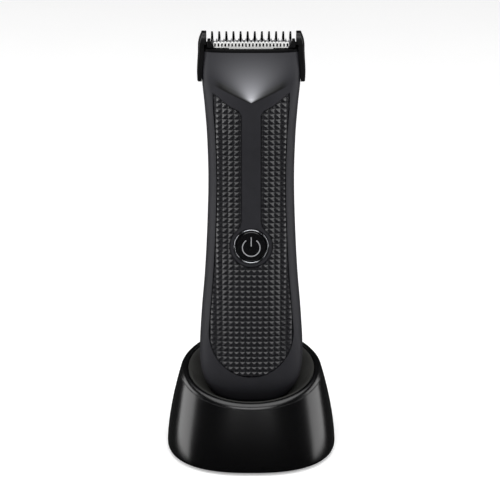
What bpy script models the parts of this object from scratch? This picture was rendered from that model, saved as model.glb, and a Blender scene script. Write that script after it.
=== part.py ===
"""Body groomer standing in its charging dock, built as separate pieces.

Units are millimetres times MM, so the scene is in metres, +Z up. The groomer faces -Y.
The origin is on the table, under the middle of the dock.
The groomer's pieces are drawn upright: X across, -Y to the front, Z up the groomer from its lower end.
They hang from the empty "groomer", which leans them back into the dock.
"""

import math

import bmesh
import bpy
from mathutils import Matrix, Vector

MM = 0.001

# ---- Driving dimensions of the groomer, in mm
LEAN = math.radians(10)  # how far it leans back in the dock
STAND = (0, -4, 20.9)  # where the middle of its lower end stands
CASE_TOP = 148.0
SEAM = 0.5  # the casing halves part at this depth
WALL = 2.0
GAP = 0.3  # between pieces that touch on the real object
HALF_WIDTH = [
    (21.6, 21.3), (38, 20.5), (55, 19.1), (74, 18.1), (94, 17.6), (112, 18.1), (124, 19.0), (137, 20.2),
    (148, 19.8),
]
BACK_DEPTH = [(14, 13.2), (35, 14), (66, 13), (94, 12), (114, 11.4), (130, 9.2), (138, 8.3), (148, 7.6)]
FRONT_DEPTH = [(14, 13.2), (35, 13.6), (66, 12.9), (94, 12.2), (118, 12.5)]
HEAD_TAPER = 5.9  # how much the front draws back between HEAD_START and the top
HEAD_START = 118
FRONT_POWER, BACK_POWER = 2.8, 2.4  # roundness of the casing's section
END_HEIGHT, END_LENGTH, END_POWER = 21.6, 22.5, 2.5  # round lower end, seen from the front
HEEL_HEIGHT, HEEL_LENGTH, HEEL_POWER = 14.0, 14.8, 2.3  # round lower end, seen from the side

# ---- The brow: a V-shaped ledge over the grip, where the work light sits
BROW_TIP = 127.0
BROW_SLOPE = 0.436
BROW_HALF = 16.0
BROW_DEPTH = 12.9
BROW_LEDGE = 1.6
LAMP_Y = -(BROW_DEPTH - 1.15)

# ---- Button, grip and blades
BUTTON_HEIGHT = 67.8
BUTTON_RADIUS = 6.2
BEZEL_RADIUS = 7.2
RING_RADIUS = 9.0  # smooth ring round the button
STEM_HALF = 4.3  # smooth stem between the two columns of grip
GRIP_MARGIN = 3.9  # from the casing's side to the grip
GRIP_BOTTOM = 13.0
GRIP_PROUD, GRIP_SUNK = 0.25, 0.9
BLADE_TIP = 151.9
COMB_TIP = 154.4
RIB_PITCH, RIB_COUNT = 2.9, 12
DRIVE_DEPTH = 0.3  # the motor's axis, behind the middle of the casing
DRIVE_OFFSET = 1.0  # how far the crank pin runs off that axis

# ---- Dock
DOCK_HALF, DOCK_DEPTH = 35.0, 34.3
RIM_HALF, RIM_DEPTH = 28.8, 24.0
RIM_MIDDLE = (-1.0, 34.7)  # y and z of the rim's middle
RIM_SLOPE = 0.303
WALL_BULGE = 1.5  # 1 is a straight cone, and more keeps the wall upright until nearer the rim
FOOT_POWER, RIM_POWER = 2.5, 2.0  # the dock's plan is fuller than an ellipse at its foot
DOCK_WALL = 2.4
DISH_DEPTH = 8.0  # from the rim down to the pocket's mouth
DISH_WALL = 1.8
DOCK_BOTTOM = 1.0
POCKET_PLAY = 0.5
POST_REACH = (22.6, 21.6)  # the screw posts inside the dock, across and along
PAD_SHARE = 0.86  # the foot pad, against the base plate
CONTACT_REACH = 2.4  # the charging contacts, to either side


# ---------------------------------------------------------------- helpers

def clear_scene():
    for obj in list(bpy.data.objects):
        bpy.data.objects.remove(obj)


def new_collection(name):
    made = bpy.data.collections.new(name)
    bpy.context.scene.collection.children.link(made)
    return made


def material(name, color, roughness, metallic=0.0):
    made = bpy.data.materials.get(name)
    if made is None:
        made = bpy.data.materials.new(name)
        made.use_nodes = True
        shader = made.node_tree.nodes["Principled BSDF"]
        shader.inputs["Base Color"].default_value = (*color, 1)
        shader.inputs["Roughness"].default_value = roughness
        shader.inputs["Metallic"].default_value = metallic
    return made


def place(obj, mat=None, parent=None):
    """Links obj as a part, or as a cutter when it has no material."""
    if mat is None:
        CUTTERS.objects.link(obj)
        obj.hide_render = True
        obj.display_type = "WIRE"
    else:
        PARTS.objects.link(obj)
        obj.data.materials.append(mat)
    return hang(obj, parent)


def hang(obj, parent):
    """Hangs obj, drawn in the groomer's frame, from the groomer or from an empty on its joint's axis."""
    obj.parent = parent
    if parent is not None and parent is not GROOMER:
        obj.location = -parent.location
    return obj


def from_bmesh(name, bm, mat, parent):
    bmesh.ops.recalc_face_normals(bm, faces=bm.faces)
    mesh = bpy.data.meshes.new(name)
    bm.to_mesh(mesh)
    bm.free()
    mesh.shade_smooth()
    mesh.set_sharp_from_angle(angle=math.radians(35))
    return place(bpy.data.objects.new(name, mesh), mat, parent)


def box(name, low, high, mat=None, parent=None, round_edges=0.0):
    bm = bmesh.new()
    size = Vector(high) - Vector(low)
    middle = (Vector(high) + Vector(low)) / 2
    where = Matrix.Translation(middle * MM) @ Matrix.Diagonal((*(size * MM), 1))
    bmesh.ops.create_cube(bm, size=1, matrix=where)
    obj = from_bmesh(name, bm, mat, parent)
    if round_edges:
        bevel = obj.modifiers.new("round edges", "BEVEL")
        bevel.width = round_edges * MM
        bevel.segments = 1
    return obj


def cylinder(name, radius, start, end, mat=None, parent=None, sides=20, end_radius=None):
    """A round bar or cone from start to end."""
    start, end = Vector(start) * MM, Vector(end) * MM
    along = end - start
    turn = Vector((0, 0, 1)).rotation_difference(along).to_matrix().to_4x4()
    bm = bmesh.new()
    bmesh.ops.create_cone(
        bm,
        cap_ends=True,
        segments=sides,
        radius1=radius * MM,
        radius2=(radius if end_radius is None else end_radius) * MM,
        depth=along.length,
        matrix=Matrix.Translation((start + end) / 2) @ turn,
    )
    return from_bmesh(name, bm, mat, parent)


def loft(name, rings, mat=None, parent=None):
    """A closed skin over rings of points in mm, each ring with the same number of points."""
    bm = bmesh.new()
    rows = [[bm.verts.new(Vector(p) * MM) for p in ring] for ring in rings]
    for low, high in zip(rows, rows[1:]):
        for i in range(len(low)):
            j = (i + 1) % len(low)
            bm.faces.new((low[i], low[j], high[j], high[i]))
    bm.faces.new(rows[0][::-1])
    bm.faces.new(rows[-1])
    return from_bmesh(name, bm, mat, parent)


def as_mesh(curve_object):
    """The object made from a curve's faces, with its caps welded on."""
    bpy.context.view_layer.update()
    graph = bpy.context.evaluated_depsgraph_get()
    mesh = bpy.data.meshes.new_from_object(curve_object.evaluated_get(graph))
    bm = bmesh.new()
    bm.from_mesh(mesh)
    bmesh.ops.remove_doubles(bm, verts=bm.verts, dist=1e-6)
    bm.to_mesh(mesh)
    bm.free()
    made = bpy.data.objects.new(curve_object.name, mesh)
    made.matrix_world = curve_object.matrix_world
    curve = curve_object.data
    bpy.data.objects.remove(curve_object)
    bpy.data.curves.remove(curve)
    return made


def plate(name, outlines, low, high, mat=None, parent=None, facing="Y"):
    """A flat plate: outlines in mm, the first one outside and any others holes, from low to high along facing.
    Facing Y draws (x, z) outlines, and facing X draws (y, z) outlines."""
    curve = bpy.data.curves.new(name, "CURVE")
    curve.dimensions = "2D"
    curve.fill_mode = "BOTH"
    curve.extrude = (high - low) / 2 * MM
    for outline in outlines:
        spline = curve.splines.new("POLY")
        spline.points.add(len(outline) - 1)
        for point, (a, b) in zip(spline.points, outline):
            point.co = (a * MM, b * MM, 0, 1)
        spline.use_cyclic_u = True
    flat = bpy.data.objects.new(name, curve)
    bpy.context.scene.collection.objects.link(flat)
    middle = (low + high) / 2 * MM
    if facing == "Y":
        turn = Matrix(((1, 0, 0, 0), (0, 0, -1, middle), (0, 1, 0, 0), (0, 0, 0, 1)))
    else:
        turn = Matrix(((0, 0, 1, middle), (1, 0, 0, 0), (0, 1, 0, 0), (0, 0, 0, 1)))
    solid = as_mesh(flat)
    solid.name = name
    solid.data.transform(turn)
    if mat is not None:
        solid.data.materials.clear()
    return place(solid, mat, parent)


def wire(name, points, radius, mat, parent):
    """A wire along a smooth curve through the points."""
    curve = bpy.data.curves.new(name, "CURVE")
    curve.dimensions = "3D"
    curve.bevel_depth = radius * MM
    curve.bevel_resolution = 1
    curve.use_fill_caps = True
    smooth = smooth_line([Vector(p) for p in points], steps=4)
    spline = curve.splines.new("POLY")
    spline.points.add(len(smooth) - 1)
    for point, at in zip(spline.points, smooth):
        point.co = (*(at * MM), 1)
    soft = bpy.data.objects.new(name, curve)
    bpy.context.scene.collection.objects.link(soft)
    solid = as_mesh(soft)
    solid.name = name
    return place(solid, mat, parent)


def smooth_line(points, steps):
    """Catmull-Rom points through the given ones."""
    ends = [2 * points[0] - points[1], *points, 2 * points[-1] - points[-2]]
    made = []
    for a, b, c, d in zip(ends, ends[1:], ends[2:], ends[3:]):
        for i in range(steps):
            t = i / steps
            made.append(
                0.5 * (2 * b + (c - a) * t + (2 * a - 5 * b + 4 * c - d) * t**2 + (3 * b - a - 3 * c + d) * t**3)
            )
    return [*made, points[-1]]


def boolean(obj, other, operation):
    modifier = obj.modifiers.new(f"{operation.lower()} {other.name}", "BOOLEAN")
    modifier.operation = operation
    modifier.solver = "EXACT"
    modifier.object = other
    return obj


def cut(obj, *cutters):
    for cutter in cutters:
        boolean(obj, cutter, "DIFFERENCE")
    return obj


def join(obj, *others):
    for other in others:
        boolean(obj, other, "UNION")
    return obj


def keep(obj, *regions):
    for region in regions:
        boolean(obj, region, "INTERSECT")
    return obj


# ---------------------------------------------------------------- the casing's form

def through(stations, at):
    """A smooth curve through (place, value) stations, held level past its ends."""
    if at <= stations[0][0]:
        return stations[0][1]
    if at >= stations[-1][0]:
        return stations[-1][1]
    k = next(i for i in range(len(stations) - 1) if at <= stations[i + 1][0])
    (x0, y0), (x1, y1) = stations[k], stations[k + 1]

    def slope(i):
        if i in (0, len(stations) - 1):
            return 0.0
        (xa, ya), (xb, yb) = stations[i - 1], stations[i + 1]
        return (yb - ya) / (xb - xa)

    span = x1 - x0
    t = (at - x0) / span
    return (
        y0 * (2 * t**3 - 3 * t**2 + 1)
        + slope(k) * span * (t**3 - 2 * t**2 + t)
        + y1 * (3 * t**2 - 2 * t**3)
        + slope(k + 1) * span * (t**3 - t**2)
    )


def ease(t):
    t = min(1.0, max(0.0, t))
    return t * t * (3 - 2 * t)


def round_end(height, start, length, power, grow):
    """The share of full size left at a height below start, where an end closes over length."""
    share = min(1.0, max(0.0, start - height) / (length + grow))
    return (1 - share**power) ** (1 / power)


def half_width(height, grow=0.0):
    return (through(HALF_WIDTH, height) + grow) * round_end(height, END_HEIGHT, END_LENGTH, END_POWER, grow)


def back_depth(height, grow=0.0):
    return (through(BACK_DEPTH, height) + grow) * round_end(height, HEEL_HEIGHT, HEEL_LENGTH, HEEL_POWER, grow)


def plain_front(height):
    return through(FRONT_DEPTH, height) - HEAD_TAPER * ease((height - HEAD_START) / (CASE_TOP - HEAD_START))


def front_depth(x, height, grow=0.0, brow=True):
    """How far the casing's front stands before the middle, at x across, before its section rounds it off."""
    depth = plain_front(height)
    if brow and abs(x) < BROW_HALF:
        edge = BROW_TIP + BROW_SLOPE * abs(x)
        fade = (1 - (x / BROW_HALF) ** 2) ** 2
        stand = max(0.0, BROW_DEPTH - depth)
        past = min(1.0, max(0.0, height - edge) / BROW_LEDGE)
        depth += fade * stand * ease((height - 100) / 18) * (1 - past) ** 2
    return (depth + grow) * round_end(height, HEEL_HEIGHT, HEEL_LENGTH, HEEL_POWER, grow)


def skin_point(angle, height, grow=0.0, brow=True, bend=0.0):
    """A point on the casing's skin. Angle 0 is the +X side and 90 degrees the front.
    Bend lifts the row with x, so that rows run along the brow's edge."""
    across, deep = math.cos(angle), math.sin(angle)
    power = FRONT_POWER if deep >= 0 else BACK_POWER
    share = math.copysign(abs(across) ** (2 / power), across)
    rise = abs(deep) ** (2 / power)
    if deep > 0:
        lift = bend * BROW_SLOPE * abs(share) * half_width(height, grow)
        height += lift * ease((rise - 0.3) / 0.5)
    x = share * half_width(height, grow)
    if deep >= 0:
        return x, -rise * front_depth(x, height, grow, brow), height
    return x, rise * back_depth(height, grow), height


def skin_depth(x, height, front):
    """How far the skin stands before or behind the middle, at x across."""
    power = FRONT_POWER if front else BACK_POWER
    depth = front_depth(x, height, brow=False) if front else back_depth(height)
    return depth * (1 - abs(x / half_width(height)) ** power) ** (1 / power)


def casing(name, heights, grow=0.0, brow=True, around=32, bends=None):
    """A closed solid of the casing's form, grown by grow, through the given heights."""
    bends = bends or [0.0] * len(heights)
    rings = [
        [skin_point(2 * math.pi * i / around, height, grow, brow, bend) for i in range(around)]
        for height, bend in zip(heights, bends)
    ]
    return loft(name, rings, parent=GROOMER)


def as_part(form, name, mat, parent):
    """Makes a form, so far a cutter, into a part."""
    CUTTERS.objects.unlink(form)
    form.name = name
    form.hide_render = False
    form.display_type = "TEXTURED"
    return place(form, mat, parent)


def half_ellipse(half, low, high, count=12):
    """Points of a half ellipse, from (half, high) through (0, low) to (-half, high)."""
    return [
        (half * math.cos(math.pi * i / count), high - (high - low) * math.sin(math.pi * i / count))
        for i in range(count + 1)
    ]


def arc(middle, radius, start, end, count):
    """Points of an arc, angles in degrees."""
    return [
        (
            middle[0] + radius * math.cos(math.radians(start + (end - start) * i / count)),
            middle[1] + radius * math.sin(math.radians(start + (end - start) * i / count)),
        )
        for i in range(count + 1)
    ]


def grip_outline(grow=0.0):
    """The front grip: two columns beside the smooth stem, joined below the button's ring."""
    side = [(half_width(h) - GRIP_MARGIN + grow, h) for h in (31, 45, 60, 76, 94, 112)]
    top = half_width(130) - GRIP_MARGIN - 0.5 + grow
    right = [
        *side,
        (top, 130.1 + grow),
        (8.9, 125.2 + grow),
        (STEM_HALF + 0.8, 123.4 + grow),
        (STEM_HALF - grow, 121.9),
        (STEM_HALF - grow, 77.6),
        (STEM_HALF + 0.7 - grow, 75.6),
    ]
    ring = arc((0, BUTTON_HEIGHT), RING_RADIUS - grow, 34, -84, 9)
    floor = half_ellipse(side[0][0], GRIP_BOTTOM - grow, side[0][1], 14)
    right = [*right, *ring]
    left = [(-x, h) for x, h in right[::-1]]
    return [*right, *left, *floor[-2:0:-1]]


def rear_outline(grow=0.0):
    """The rear grip: one rounded panel."""
    side = [(half_width(h) - GRIP_MARGIN + grow, h) for h in (31, 45, 60, 76, 94, 108)]
    top = [(x, 216 - h + grow) for x, h in half_ellipse(side[-1][0], 98, 108, 10)]
    floor = half_ellipse(side[0][0], GRIP_BOTTOM + 3 - grow, side[0][1], 14)
    left = [(-x, h) for x, h in side[-2::-1]]
    return [*side, *top[1:], *left, *floor[-2:0:-1]]


# ---------------------------------------------------------------- the casing's pieces

SKIN_ROWS = [  # height of each row of the skin, and how much it follows the brow
    (0, 0), (0.8, 0), (2.2, 0), (4.5, 0), (7.5, 0), (11, 0), (15, 0), (20, 0), (25, 0), (31, 0), (38, 0),
    (46, 0), (56, 0), (66, 0), (77, 0), (88, 0), (98, 0), (108, 0), (116, 0.3), (122, 0.8), (BROW_TIP, 1),
    (BROW_TIP + 0.7, 1), (BROW_TIP + BROW_LEDGE, 1), (131.8, 0.8), (135, 0.5), (139, 0.2), (143.4, 0),
    (CASE_TOP, 0),
]
CAVITY_ROWS = [2.0, 4, 8, 14, 22, 34, 50, 66, 80, 94, 106, 116, 124, 131, 138, 151]
SCREW_SPOTS = [(-12.0, 16), (12.0, 16), (-12.2, 80), (12.2, 80)]
BOSS_RADIUS = 2.1


def half_space(name, front):
    """Everything before or behind the seam, as a box."""
    if front:
        return box(name, (-40, -30, -10), (40, SEAM - GAP / 2, 170), parent=GROOMER)
    return box(name, (-40, SEAM + GAP / 2, -10), (40, 30, 170), parent=GROOMER)


def grip_layer(name, outline, low, high, front):
    """The layer of the casing from low to high over its skin, inside the outline."""
    rows = list(range(8, 137, 8))
    layer = casing(f"{name} outer", rows, grow=high, brow=False, around=40)
    core = casing(f"{name} core", [4, *rows, 142], grow=low, brow=False, around=40)
    across = (-20, -2.5) if front else (2.5, 20)
    prism = plate(f"{name} outline", [outline], *across, parent=GROOMER)
    return layer, core, prism


def grip(name, outline, front, mat):
    """A rubber panel let into the casing."""
    layer, core, prism = grip_layer(name, outline(), -GRIP_SUNK, GRIP_PROUD, front)
    as_part(layer, name, mat, GROOMER)
    return cut(keep(layer, prism), core)


def grip_recess(name, outline, front):
    """The pocket in the casing that a grip sits in."""
    layer, core, prism = grip_layer(name, outline(GAP), -GRIP_SUNK - GAP, 3, front)
    return cut(keep(layer, prism), core)


def case_half(name, front, mat):
    """One half of the casing, hollow, before its own fittings are cut."""
    heights, bends = zip(*SKIN_ROWS)
    half = as_part(casing(name, heights, bends=bends, around=36), name, mat, GROOMER)
    keep(half, half_space(f"{name} side", front))
    cut(half, casing(f"{name} cavity", CAVITY_ROWS, grow=-WALL, brow=False))
    outline = grip_outline if front else rear_outline
    cut(half, grip_recess(f"{name} grip recess", outline, front))
    for i, (x, height) in enumerate(SCREW_SPOTS):
        inner_wall = (skin_depth(abs(x) + BOSS_RADIUS, height, front) - WALL + 0.4) * (-1 if front else 1)
        seam = SEAM + (-GAP if front else GAP) / 2
        ends = (x, seam, height), (x, inner_wall, height)
        join(half, cylinder(f"{name} boss {i}", BOSS_RADIUS, *ends, None, GROOMER, 12))
        if front:
            pilot = cylinder(f"{name} pilot {i}", 1.0, (x, 2, height), (x, -5.5, height), None, GROOMER, 10)
        else:
            pilot = cylinder(f"{name} pilot {i}", 1.2, (x, 0, height), (x, 5, height), None, GROOMER, 10)
            head = cylinder(f"{name} head {i}", 2.0, (x, 4.4, height), (x, 20, height), None, GROOMER, 12)
            cut(half, head)
        cut(half, pilot)
    cut(half, contact_opening(f"{name} contact opening"))
    return half


def contact_oval(grow=0.0):
    return [(x * (5.0 + grow), y * (3.6 + grow)) for x, y in arc((0, 0), 1, 0, 337.5, 15)]


def contact_opening(name):
    rings = [[(x, y, height) for x, y in contact_oval(GAP)] for height in (-2, 6)]
    return loft(name, rings, parent=GROOMER)


def front_shell():
    shell = case_half("front_shell", True, CASE_BLACK)
    at = BUTTON_HEIGHT
    join(shell, cylinder("button boss", RING_RADIUS - 0.5, (0, -11.6, at), (0, -10, at), None, GROOMER, 28))
    cut(shell, cylinder("bezel pocket", BEZEL_RADIUS + GAP, (0, -20, at), (0, -11, at), None, GROOMER, 28))
    cut(shell, cylinder("stem hole", 2.5, (0, -20, at), (0, -9, at), None, GROOMER, 16))
    cut(shell, cylinder("lamp hole", 0.85, (0, LAMP_Y, 118.6), (0, LAMP_Y, 132), None, GROOMER, 14))
    return shell


def rear_shell():
    return case_half("rear_shell", False, CASE_BLACK)


def case_screws():
    for i, (x, height) in enumerate(SCREW_SPOTS, 1):
        shaft = cylinder(f"case_screw_{i}", 0.75, (x, 5.0, height), (x, -4.5, height), STEEL, GROOMER, 10)
        join(shaft, cylinder(f"screw head {i}", 1.7, (x, 4.7, height), (x, 6.2, height), None, GROOMER, 14))


# ---------------------------------------------------------------- button and electronics

def power_button():
    at = BUTTON_HEIGHT
    button = cylinder("power_button", BUTTON_RADIUS, (0, -13.15, at), (0, -11.8, at), GLOSS_BLACK, BUTTON, 28)
    stem = cylinder("button stem", 2.2, (0, -12.4, at), (0, -8.8, at), None, GROOMER, 16)
    join(button, stem)
    bezel = cylinder("button_bezel", BEZEL_RADIUS, (0, -13.35, at), (0, -11.3, at), CHROME, GROOMER, 28)
    cut(bezel, cylinder("bezel bore", BUTTON_RADIUS + GAP, (0, -15, at), (0, -10, at), None, GROOMER, 28))
    seal = cylinder("button_seal", 5.2, (0, -9.7, at), (0, -9.1, at), RUBBER, GROOMER, 20)
    cut(seal, cylinder("seal bore", 2.5, (0, -11, at), (0, -8, at), None, GROOMER, 16))


def electronics():
    at = BUTTON_HEIGHT
    board = box("main_pcb", (-11.5, -5.2, 30), (11.5, -4.0, 77.5), BOARD, GROOMER)
    cut(board, box("board notch", (-3, -6, 29), (3, -3, 33), parent=GROOMER))
    body = box("switch_body", (-3, -7.6, at - 3), (3, -5.5, at + 3), PLASTIC, GROOMER)
    cut(body, cylinder("switch bore", 1.8, (0, -9, at), (0, -6.2, at), None, GROOMER, 14))
    cylinder("switch_plunger", 1.5, (0, -8.5, at), (0, -7.1, at), PLASTIC, PLUNGER, 14)
    box("status_led", (-1.0, -6.5, at - 6.4), (1.0, -5.5, at - 4.8), LAMP, GROOMER)
    box("control_chip", (-3.5, -6.7, 46), (3.5, -5.5, 53), PLASTIC, GROOMER)
    cylinder("work_light_lens", 0.55, (0, LAMP_Y, 121.4), (0, LAMP_Y, 127.3), LAMP, GROOMER, 12)
    cylinder("work_light_led", 0.55, (0, LAMP_Y, 119), (0, LAMP_Y, 121), BOARD, GROOMER, 12)


def charging_contacts():
    rings = [[(x, y, height) for x, y in contact_oval()] for height in (0.2, 2.4)]
    holder = loft("contact_plate", rings, PLASTIC, GROOMER)
    for side, x in (("left", -CONTACT_REACH), ("right", CONTACT_REACH)):
        cut(holder, cylinder(f"{side} contact hole", 1.4, (x, 0, -1), (x, 0, 4), None, GROOMER, 14))
        cylinder(f"charge_contact_{side}", 1.1, (x, 0, 0.1), (x, 0, 3.4), BRASS, GROOMER, 14)


# ---------------------------------------------------------------- battery and motor

BATTERY_Y = 3.5
BATTERY_LOW, BATTERY_HIGH = 22.8, 72.8


def battery():
    foot, top = (0, BATTERY_Y, BATTERY_LOW), (0, BATTERY_Y, BATTERY_HIGH)
    cell = cylinder("battery_cell", 7, foot, top, CELL, GROOMER, 28)
    nub_top = (0, BATTERY_Y, BATTERY_HIGH + 0.7)
    nub = cylinder("battery nub", 2.6, (0, BATTERY_Y, 70), nub_top, None, GROOMER, 14)
    join(cell, nub)
    carrier = box("battery_carrier", (-9.6, -2.5, 19.4), (9.6, 8.2, 76.6), PLASTIC, GROOMER)
    bay = cylinder("battery bay", 7.3, (0, BATTERY_Y, 21.4), (0, BATTERY_Y, 74.6), None, GROOMER, 28)
    cut(carrier, bay, box("front bay", (-6, -5, 21.4), (6, 1, 74.6), parent=GROOMER))
    box("battery_tab_lower", (-4, -1, 21.8), (4, 7, 22.4), STEEL, GROOMER)
    box("battery_tab_upper", (-4, -1, 73.8), (4, 7, 74.3), STEEL, GROOMER)


MOTOR_LOW, MOTOR_HIGH = 84.0, 116.0


def bulkhead(name, low, high, hole, mat):
    """A wall across the inside of the casing, with a round hole on the motor's axis."""
    wall = as_part(casing(name, [low, high], grow=-WALL - GAP, brow=False), name, mat, GROOMER)
    ends = (0, DRIVE_DEPTH, low - 2), (0, DRIVE_DEPTH, high + 2)
    bore = cylinder(f"{name} bore", hole, *ends, None, GROOMER, 20)
    return cut(wall, bore)


def motor():
    y = DRIVE_DEPTH
    can = cylinder("motor_can", 10.2, (0, y, MOTOR_LOW), (0, y, MOTOR_HIGH), STEEL, GROOMER, 32)
    keep(can, box("can flats", (-11, y - 7.7, 80), (11, y + 7.7, 120), parent=GROOMER))
    join(can, cylinder("can boss", 3, (0, y, 110), (0, y, MOTOR_HIGH + 1.6), None, GROOMER, 16))
    cut(can, cylinder("can bore", 1.3, (0, y, 112), (0, y, 120), None, GROOMER, 14))
    cap = cylinder("motor_end_cap", 9.4, (0, y, 80.4), (0, y, MOTOR_LOW - GAP), PLASTIC, GROOMER, 28)
    keep(cap, box("cap flats", (-11, y - 7.3, 79), (11, y + 7.3, 90), parent=GROOMER))
    bulkhead("motor_mount", MOTOR_HIGH + GAP, 118.6, 3.3, PLASTIC)
    cylinder("motor_shaft", 1.0, (0, y, 112.5), (0, y, 128), STEEL, ROTOR, 14)
    crank = cylinder("crank_cam", 3.4, (0, y, 122), (0, y, 130.5), PLASTIC, ROTOR, 20)
    pin_ends = (0, y - DRIVE_OFFSET, 129), (0, y - DRIVE_OFFSET, 142.6)
    join(crank, cylinder("crank pin", 0.9, *pin_ends, None, GROOMER, 12))
    cut(crank, cylinder("crank bore", 1.3, (0, y, 120), (0, y, 128.4), None, GROOMER, 14))
    bulkhead("drive_seal", 133.4, 135.2, 3.2, RUBBER)


# ---------------------------------------------------------------- blade head

HEAD_LOW = 137.0
BLADE_HALF = 16.2
CUTTER_HALF = 14.8
CUTTER_TRAVEL = 1.1
BLADE_TEETH = 22
FIXED_Y, MOVING_Y = (-2.8, -2.0), (-3.9, -3.1)  # front and back of each blade


def blade_outline(half, foot_half, foot, root, tip, count):
    """A blade's outline with blunt teeth along its upper edge, and a narrower foot below the casing's top."""
    shoulder = CASE_TOP + GAP
    pitch = 2 * half / count
    teeth = []
    for i in range(count):
        middle = half - (i + 0.5) * pitch
        teeth += [(middle + 0.44, root), (middle + 0.16, tip), (middle - 0.16, tip), (middle - 0.44, root)]
    return [(foot_half, foot), (foot_half, shoulder), (half, shoulder), *teeth, (-half, shoulder),
            (-foot_half, shoulder), (-foot_half, foot)]


def head_form(low, high):
    """The blade head's housing, as wide as the casing's mouth all the way down, so that it draws out."""
    around = [2 * math.pi * i / 32 for i in range(32)]
    mouth = [skin_point(angle, CASE_TOP, -WALL - GAP, brow=False) for angle in around]
    rings = [[(x, y, height) for x, y, _ in mouth] for height in (low, high)]
    form = loft("head_housing", rings, CASE_BLACK, GROOMER)
    ends = (0, DRIVE_DEPTH, low - 2), (0, DRIVE_DEPTH, high + 2)
    return cut(form, cylinder("head bore", 3.4, *ends, None, GROOMER, 20))


def blade_head():
    housing = head_form(HEAD_LOW, CASE_TOP + 0.8)
    cut(housing, box("cutter room", (-30, -9, 141), (30, -1.8, 160), parent=GROOMER))
    join(housing, box("head bed", (-17.4, -1.65, CASE_TOP + GAP), (17.4, 4.6, 149.6), parent=GROOMER))
    for side in (-1, 1):
        low, high = sorted((side * 16.6, side * 17.9))
        corners = (low, -4.2, CASE_TOP + GAP + 0.2), (high, 4.2, 152.4)
        join(housing, box(f"cheek {side}", *corners, parent=GROOMER))
    yoke_room = box("yoke room", (-6.6, -3.3, 139.6), (6.6, 4.3, 145.1), parent=GROOMER)
    spring_room = box("spring room", (-10.3, 2.0, 139.9), (10.3, 3.7, 143.6), parent=GROOMER)
    cut(housing, yoke_room, spring_room)
    for side, x in (("left", -11.5), ("right", 11.5)):
        cut(housing, cylinder(f"{side} blade screw hole", 1.0, (x, -6, 147), (x, 8, 147), None, GROOMER, 12))
        cut(housing, cylinder(f"{side} blade screw sink", 1.9, (x, 2.3, 147), (x, 9, 147), None, GROOMER, 12))
        screw = cylinder(f"blade_screw_{side}", 0.7, (x, -2.2, 147), (x, 3.0, 147), STEEL, HEAD, 10)
        ends = (x, 2.7, 147), (x, 3.6, 147)
        join(screw, cylinder(f"{side} blade screw head", 1.5, *ends, None, GROOMER, 12))
    hang(housing, HEAD)
    holes = [arc((x, 147), 1.0, 0, 330, 11) for x in (-11.5, 11.5)]
    outline = blade_outline(BLADE_HALF, 13.4, 145.8, 149.9, BLADE_TIP, BLADE_TEETH)
    plate("fixed_blade", [outline, *holes], *FIXED_Y, STEEL, HEAD)
    box("blade_spring", (-10, 3.0, 141), (10, 3.35, 143.2), STEEL, HEAD)


def cutter():
    outline = blade_outline(CUTTER_HALF, 9, 142, 148.7, 150.3, BLADE_TEETH)
    plate("moving_blade", [outline], *MOVING_Y, CERAMIC, CUTTER)
    yoke = box("cutter_yoke", (-5, -2.8, 140.4), (5, 2.4 + DRIVE_DEPTH, 145.0), PLASTIC, CUTTER)
    reach = DRIVE_OFFSET + 0.9 + GAP
    slot = box(
        "yoke slot",
        (-reach - CUTTER_TRAVEL, DRIVE_DEPTH - reach, 139),
        (reach + CUTTER_TRAVEL, DRIVE_DEPTH + reach - 0.2, 143.4),
        parent=GROOMER,
    )
    cut(yoke, slot)


# ---------------------------------------------------------------- comb guard

COMB_INNER, COMB_OUTER = 0.5, 1.9  # how far the comb's band stands over the casing
COMB_LOW, COMB_BAND_TOP = 134.4, 149.4


def comb_guard():
    rows = [COMB_LOW, 138, 142, 146, COMB_BAND_TOP]
    form = casing("comb_guard", rows, grow=COMB_OUTER, brow=False, around=44)
    band = as_part(form, "comb_guard", COMB_BLACK, COMB)
    join(band, rib_bank())
    horn = [
        (-3.3, 147.2), (-3.8, 150), (-2.6, 152.9), (-0.6, COMB_TIP + 0.2), (2.2, COMB_TIP), (5.2, 153),
        (6.2, 151), (6.6, 147.2),
    ]
    for side in (-1, 1):
        low, high = sorted((side * 18.3, side * 20.9))
        join(band, plate(f"horn {side}", [horn], low, high, parent=GROOMER, facing="X"))
    bore_rows = [130, 136, 140, 144, COMB_BAND_TOP + 0.1]
    cut(band, casing("comb bore", bore_rows, grow=COMB_INNER, brow=False, around=44))
    cut(band, box("comb front", (-30, -30, 120), (30, -3.6, COMB_BAND_TOP), parent=GROOMER))
    cut(band, box("comb window", (-14.5, 0, 120), (14.5, 30, 141), parent=GROOMER))


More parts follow.
